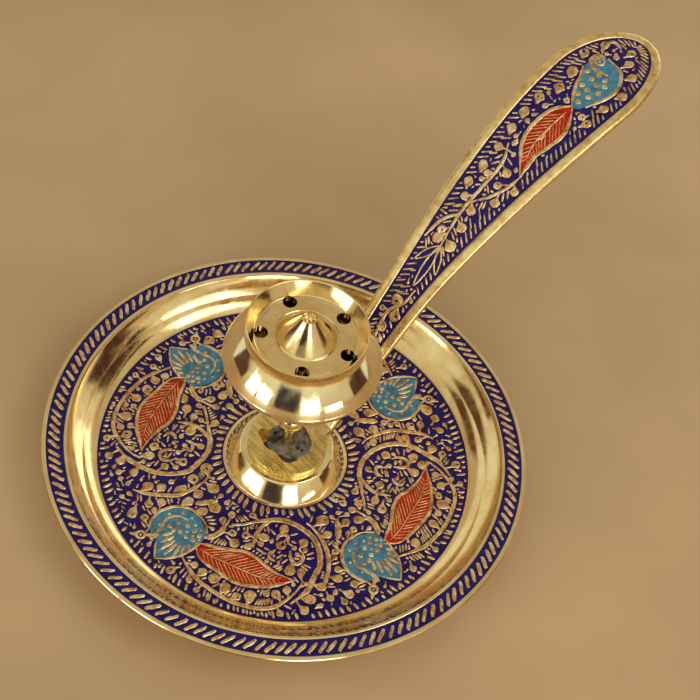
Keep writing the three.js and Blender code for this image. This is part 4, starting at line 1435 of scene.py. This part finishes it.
def filled(line, alongs, spacing, extra=()):
    """Triangles that fill a closed line, with rows of points inside it so that they can bend."""
    rows = [(s, t) for s in alongs for t in np.arange(-HANDLE_REACH, HANDLE_REACH + 0.1, spacing)]
    rows = np.array(rows)
    rows = rows[inside(rows, line)]
    rows = rows[[np.linalg.norm(line - row, axis=1).min() > 0.45 for row in rows]]
    edges = [(k, (k + 1) % len(line)) for k in range(len(line))] + list(extra)
    flat = [Vector(p) for p in np.vstack([line, rows])]
    points, _, triangles, *_ = delaunay_2d_cdt(flat, edges, [], 1, 1e-6)
    points = np.array([tuple(p) for p in points])
    wound = []
    for a, b, c in triangles:
        (x1, y1), (x2, y2) = points[b] - points[a], points[c] - points[a]
        wound.append((a, b, c) if x1 * y2 > x2 * y1 else (a, c, b))
    return points, wound


half_widths = flowing(HANDLE_HALF_WIDTHS, gap=0.6)
side_alongs = sorted([*np.arange(0.4, HANDLE_TIP_START, 0.7), *FIELD_STEP])
side_alongs = [HANDLE_ROOT, -2.9, *np.linspace(-bend_length, 0, 9), *side_alongs]
side = [(s, float(np.interp(s, half_widths[:, 0], half_widths[:, 1]))) for s in side_alongs]
tip_length = HANDLE_LENGTH - HANDLE_TIP_START
tip_half_width = HANDLE_HALF_WIDTHS[-1][1]
for angle in np.linspace(0, math.pi / 2, 44)[:-1]:
    side.append((HANDLE_TIP_START + tip_length * math.sin(angle), tip_half_width * math.cos(angle)))
handle_outline = [(s, -w) for s, w in side] + [(HANDLE_LENGTH, 0)] + [(s, w) for s, w in reversed(side)]
handle_outline = np.array(handle_outline)

bend_rows = [-4.2, *np.linspace(-bend_length, 0, 9), 1.2, 2.1]
field_rows = np.arange(4.2, HANDLE_LENGTH - 1, 1.3)
count = len(handle_outline)
handle_vertices, handle_faces = [], []
border_run = BORDER_START[1] - BORDER_START[0]
by_field = np.clip((handle_outline[:, 0] - BORDER_START[0]) / border_run, 0, 1)
for distance, field_height, root_height in BORDER_RINGS:
    ring = drawn_in(handle_outline, distance)
    height = root_height + (field_height - root_height) * by_field
    handle_vertices += [tuple(p) for p in np.column_stack([ring, height])]
for r in range(len(BORDER_RINGS) - 1):
    here, there = r * count, (r + 1) * count
    for k in range(count):
        after = (k + 1) % count
        handle_faces.append((here + k, here + after, there + after, there + k))
bend_and_field_rows = [*bend_rows, *field_rows]
under_line = drawn_in(handle_outline, BORDER_RINGS[0][0])
under_points, under_faces = filled(under_line, bend_and_field_rows, 2.4)
handle_vertices += [(s, t, -HANDLE_HALF_THICKNESS) for s, t in under_points[count:]]


def under_index(k):
    """Where a point of the underside stands among the strip's own: in the first ring, or after them all."""
    return k if k < count else len(BORDER_RINGS) * count + k - count


handle_faces += [tuple(under_index(k) for k in reversed(face)) for face in under_faces]
field_line = drawn_in(handle_outline, HANDLE_BORDER)
step_edges = []
for s in FIELD_STEP:
    near = [k for k in range(count) if abs(handle_outline[k, 0] - s) < 1e-6]
    step_edges.append((near[0], near[-1]))
top_points, top_faces = filled(field_line, bend_and_field_rows, 2.0, step_edges)
first_top = len(handle_vertices)
in_field = top_points[:, 0] > sum(FIELD_STEP) / 2
bed_heights = np.where(in_field, HANDLE_HALF_THICKNESS - FIELD_DEPTH, HANDLE_HALF_THICKNESS)
handle_vertices += [(s, t, h) for (s, t), h in zip(top_points, bed_heights)]
handle_faces += [tuple(first_top + k for k in face) for face in top_faces]
last_ring = (len(BORDER_RINGS) - 1) * count
for k in range(count):
    after = (k + 1) % count
    handle_faces.append((last_ring + k, last_ring + after, first_top + after, first_top + k))


def worn_brass(name, light, deep, roughness, file_marks):
    """Handled brass: pitted and brown in its hollows. File marks run across the strip."""
    brass = Finish(name)
    stretch = brass.nodes.new("ShaderNodeVectorMath")
    stretch.operation = "MULTIPLY"
    stretch.inputs[1].default_value = (3600, 110, 110)
    brass.links.new(brass.place, stretch.inputs[0])
    marks = brass.noise(stretch.outputs["Vector"], 1, 3, 0.6)
    clouds = brass.noise(brass.place, 420, 5, 0.7)
    both = brass.nodes.new("ShaderNodeMix")
    both.inputs["Factor"].default_value = file_marks
    brass.links.new(clouds, both.inputs["A"])
    brass.links.new(marks, both.inputs["B"])
    brass.ramp(both.outputs["Result"], [(0.36, deep), (0.56, light)], "Base Color")
    grain = brass.noise(brass.place, 1500, 4, 0.6)
    brass.gloss(grain, roughness - 0.08, roughness + 0.12)
    brass.relief(marks if file_marks > 0.5 else clouds, 0.00012, 0.6)
    brass.plain("Metallic", 1)
    return brass.material


strip_brass = worn_brass("strip_brass", STRIP_LIGHT, STRIP_DEEP, 0.28, 0.0)
disc_brass = worn_brass("disc_brass", DISC_LIGHT, DISC_DEEP, 0.24, 0.7)
strip_points = on_handle(handle_vertices)
handle = add_piece("arched_strip", strip_points, handle_faces, strip_brass, "handle_brass", sharp=45)
disc_profile = [
    (ROD_HOLE, DISC_BOTTOM_Z),
    (HANDLE_DISC_RADIUS, DISC_BOTTOM_Z, 0.25),
    (HANDLE_DISC_RADIUS, DISC_TOP_Z, 0.25),
    (ROD_HOLE, DISC_TOP_Z),
]
disc_mesh = turned(eased(disc_profile), HANDLE_DISC_AROUND)
cut_or_join(handle, mesh_object("root_disc", *disc_mesh, disc_brass), "UNION")
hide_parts("handle")


# Enamel and chased work of the handle: a peacock at the tip, a red leaf, and a budding stem below them.
# They lie in the sunk field like those of the floor. Short strokes slant off its border.
HANDLE_ENAMEL_HEIGHT = HANDLE_HALF_THICKNESS - ENAMEL_BELOW
HANDLE_ENAMEL_DEPTH = 0.19
HANDLE_MARGIN = 0.22

# The lists down to HANDLE_BUDS hold places in millimetres: along the strip from its bend, and across it.
BIRD_EDGE = [
    (91.6, -1.6), (93.3, -3.3), (99, -5), (102.1, -4.8), (104.4, -3.7), (106.1, -1.9), (106.5, 0.2),
    (106.8, 2.3), (106.3, 3.7), (105.4, 4.4), (103.9, 4.2), (101.5, 4.4), (98.7, 2.6), (97, 2.2), (94, 0.6),
]
BIRD_THROAT = [
    (106.9, 2.6), (106.6, 3.9), (105.4, 4.7), (103.9, 4.4),
    (102.9, 3.2), (102.7, 1.6), (102.9, 0.2), (103.3, -1.2),
]
BIRD_LINES = [
    # places, half-width
    ([(93.3, -3.5), (99, -5.4), (102.1, -5.2), (104.6, -4), (106.4, -2), (106.8, 0.2), (107.1, 2)], 0.44),
    ([(101.5, 4.6), (98.7, 2.9), (97, 2.4), (94, 0.7), (91.3, -1.3)], 0.42),
    (BIRD_THROAT, 0.50),
    ([(107.2, 4), (108.4, 4.8), (109.9, 5.2), (111.9, 4.8), (111.8, 2.7), (110.7, 1.3)], 0.46),
]
BIRD_SPOTS = [
    (100.1, 0.8), (102, 0.3), (101.8, -1.6), (99.5, -1.2), (100.5, -2.8), (98.1, -3.1),
    (97.1, -0.6), (95.8, -2.1), (97.4, 1.2), (95.1, 0.2), (93.5, -1.3), (101.1, 3),
]
BIRD_EYE = (105.1, 2.8)
HANDLE_LEAF_LEFT = [(91.9, -1.1), (88, 1.7), (82.7, 2.3), (78.6, 1.4), (75.4, -0.8), (71.5, -4.2)]
HANDLE_LEAF_RIGHT = [(74.6, -3.7), (77.4, -3.4), (80.6, -4.1), (84.5, -4.6), (88, -3.6)]
HANDLE_LEAF_RIB = [(90.5, -1.2), (84, -1), (79, -1.2), (74, -3)]
LEAF_DROP = (84.4, -1.2)
MAIN_STEM = [(76, 3.4), (73, 1.7), (69.8, 1), (64.3, 1), (57.4, 1), (49.1, -0.3)]
PETAL_ROOT = (49, -0.3)
PETALS = [
    # tip, how far each side bulges
    ((43.4, 2.7), 0.75),
    ((38.6, -0.9), 0.9),
    ((43.4, -3.5), 0.75),
]
SIDE_STEMS = [
    [(71.5, -4.2), (68, -3.6), (64, -1.8), (60.6, 0.8)],
    [(57.2, 1), (53.5, 3.4), (48.6, 4.2)],
    [(38, -1.9), (34, -1.5), (30, 0.5), (23, -0.3), (16, 0.3), (9, 0)],
]
HANDLE_BUDS = [
    # along the strip, across it, radius
    (98.6, 5.5, 1.35), (112.3, -0.2, 1.1), (109.4, -2, 1.1), (93.4, 4.6, 1.25), (73.8, 4.3, 1.1),
    (33.4, 0.3, 1.4), (27, -0.2, 1.35), (104.4, 7.2, 1.2), (109.6, 5.6, 1.1), (88.6, 6.2, 1.2),
    (83.8, 6.2, 1.2), (79, 5.6, 1.15), (68.6, 4.6, 1.15), (63.8, 4.6, 1.1), (101, -7.6, 1.15),
    (106.6, -5.6, 1.15), (95.6, -7, 1.1), (90.2, -6.8, 1.1),
]
BORDER_BUD_OFF = 4.5
BORDER_BUD_TAIL = (1.6, 1.1)
BORDER_BUD_LENGTH = 1.95
HATCH_INSETS = (0.55, 2.2)
HATCH_START = 5
HATCH_SPACING = 0.98
HATCH_LEAN = 0.95
HATCH_LENGTHS = (2.4, 1.8, 1.2, 0.8)
HATCH_WIDTHS = np.array([0.14, 0.22, 0.25, 0.24, 0.2, 0.1])


def on_handle_enamel(flat):
    """Lays a flat drawing on the handle's enamel, and bends it with the strip."""
    return on_handle(flat + np.array([0, 0, HANDLE_ENAMEL_HEIGHT]))


def in_handle_field(points):
    """Which points lie in the handle's field, clear of its border."""
    return inside(points, handle_field_inner)


field_part = field_line[field_line[:, 0] > FIELD_PART_START]
handle_field = drawn_in(field_part, ENAMEL_GAP)
handle_field_inner = drawn_in(field_part, HANDLE_MARGIN)
handle_rng = random.Random(5)
handle_low, handle_high = (2, -HANDLE_REACH), (HANDLE_LENGTH - 1, HANDLE_REACH)
handle_work = Field(handle_low, handle_high, in_handle_field, on_handle_enamel)
handle_work.pool(handle_field, "navy", height=0, gap=1.3, sink=HANDLE_ENAMEL_DEPTH, mark=False)

handle_work.pool(flowing(BIRD_EDGE, closed=True), "peacock")
for places, width in BIRD_LINES:
    line = flowing(places)
    handle_work.stroke(line, tapered(line, width, 0.5))
for spot in BIRD_SPOTS:
    dot(handle_work, spot, 0.68)
eye = np.array(BIRD_EYE)
handle_work.stroke(loop(eye, 1.05), 0.32, closed=True)
dot(handle_work, eye, 0.34)

drop = bud_line(np.array(LEAF_DROP), math.pi, 3.6, 0.1)
handle_work.stroke(drop, bud_widths(len(drop), 0.62, 3.6, 0.14, 1.5), height=RELIEF * 1.1)
leaf_right = [HANDLE_LEAF_LEFT[-1], *HANDLE_LEAF_RIGHT, HANDLE_LEAF_LEFT[0]]
leaf(handle_work, HANDLE_LEAF_LEFT, leaf_right, HANDLE_LEAF_RIB, "leaf", 0.48, 1.15)

main_stem = flowing(MAIN_STEM)
handle_work.stroke(main_stem, tapered(main_stem, 0.42, 0.5))
for tip, bulge in PETALS:
    root, tip = np.array(PETAL_ROOT), np.array(tip)
    way = tip - root
    off = np.array((-way[1], way[0])) / np.linalg.norm(way) * bulge
    petal = flowing([root, root + way * 0.5 + off, tip, root + way * 0.5 - off], closed=True)
    handle_work.stroke(petal, 0.2, closed=True)
handle_stems = [main_stem]
for places in SIDE_STEMS:
    line = flowing(places)
    handle_work.stroke(line, tapered(line, 0.4, 0.5))
    handle_stems.append(line)
for s, t, size in HANDLE_BUDS:
    if abs(t) > BORDER_BUD_OFF:
        tail = np.array((BORDER_BUD_TAIL[0], math.copysign(BORDER_BUD_TAIL[1], t)))
        length = BORDER_BUD_LENGTH + size
        line = bud_line((s, t) - tail, math.atan2(tail[1], tail[0]), length, -math.copysign(0.5, t))
        handle_work.stroke(line, bud_widths(len(line), size, length, 0.3, 1.2))
        spotted(handle_work, line, size, handle_rng)
    else:
        placed_bud(handle_work, (s, t), size, handle_stems, handle_rng)
for stem in handle_stems:
    buds_along(handle_work, stem, handle_rng, spacing=2.5, lengths=(3.6, 3.0, 2.4, 1.9, 1.5))
for stem in handle_stems:
    hatch_along(handle_work, stem, reach=0.85, length=1.3, spacing=1.0, lean=0.9)
for inset in HATCH_INSETS:
    line = drawn_in(field_part, inset)
    last_mark = np.zeros(2)
    for k in range(len(line) - 3):
        if line[k, 0] < HATCH_START or np.linalg.norm(line[k] - last_mark) < HATCH_SPACING:
            continue
        last_mark = line[k]
        lean = HATCH_LEAN if line[k, 1] < 0 else math.pi - HATCH_LEAN
        way = unit(course_at(line, k) + lean)
        for length in HATCH_LENGTHS:
            mark = line[k] + np.linspace(0, length, len(HATCH_WIDTHS))[:, None] * way
            if handle_work.free(mark, HATCH_WIDTHS, 0.12):
                handle_work.stroke(mark, HATCH_WIDTHS)
                break


def down_the_handle(point):
    """The heading towards the bend, leaning a little inwards on one side."""
    return math.pi if point[1] > 0 else math.pi * 0.92


loose_lengths = (2.6, 2.1, 1.6, 1.2, 0.9, 0.7)
scattered(handle_work, handle_rng, down_the_handle, tries=900, lengths=loose_lengths, spare=0.12)
handle_work.piece("handle_vine_work", ornament_brass, "handle_brass")
handle_work.pool_piece("handle_navy_enamel", "navy", navy_enamel)
handle_work.pool_piece("handle_leaf_enamel", "leaf", leaf_red)
handle_work.pool_piece("handle_peacock_enamel", "peacock", peacock_blue)
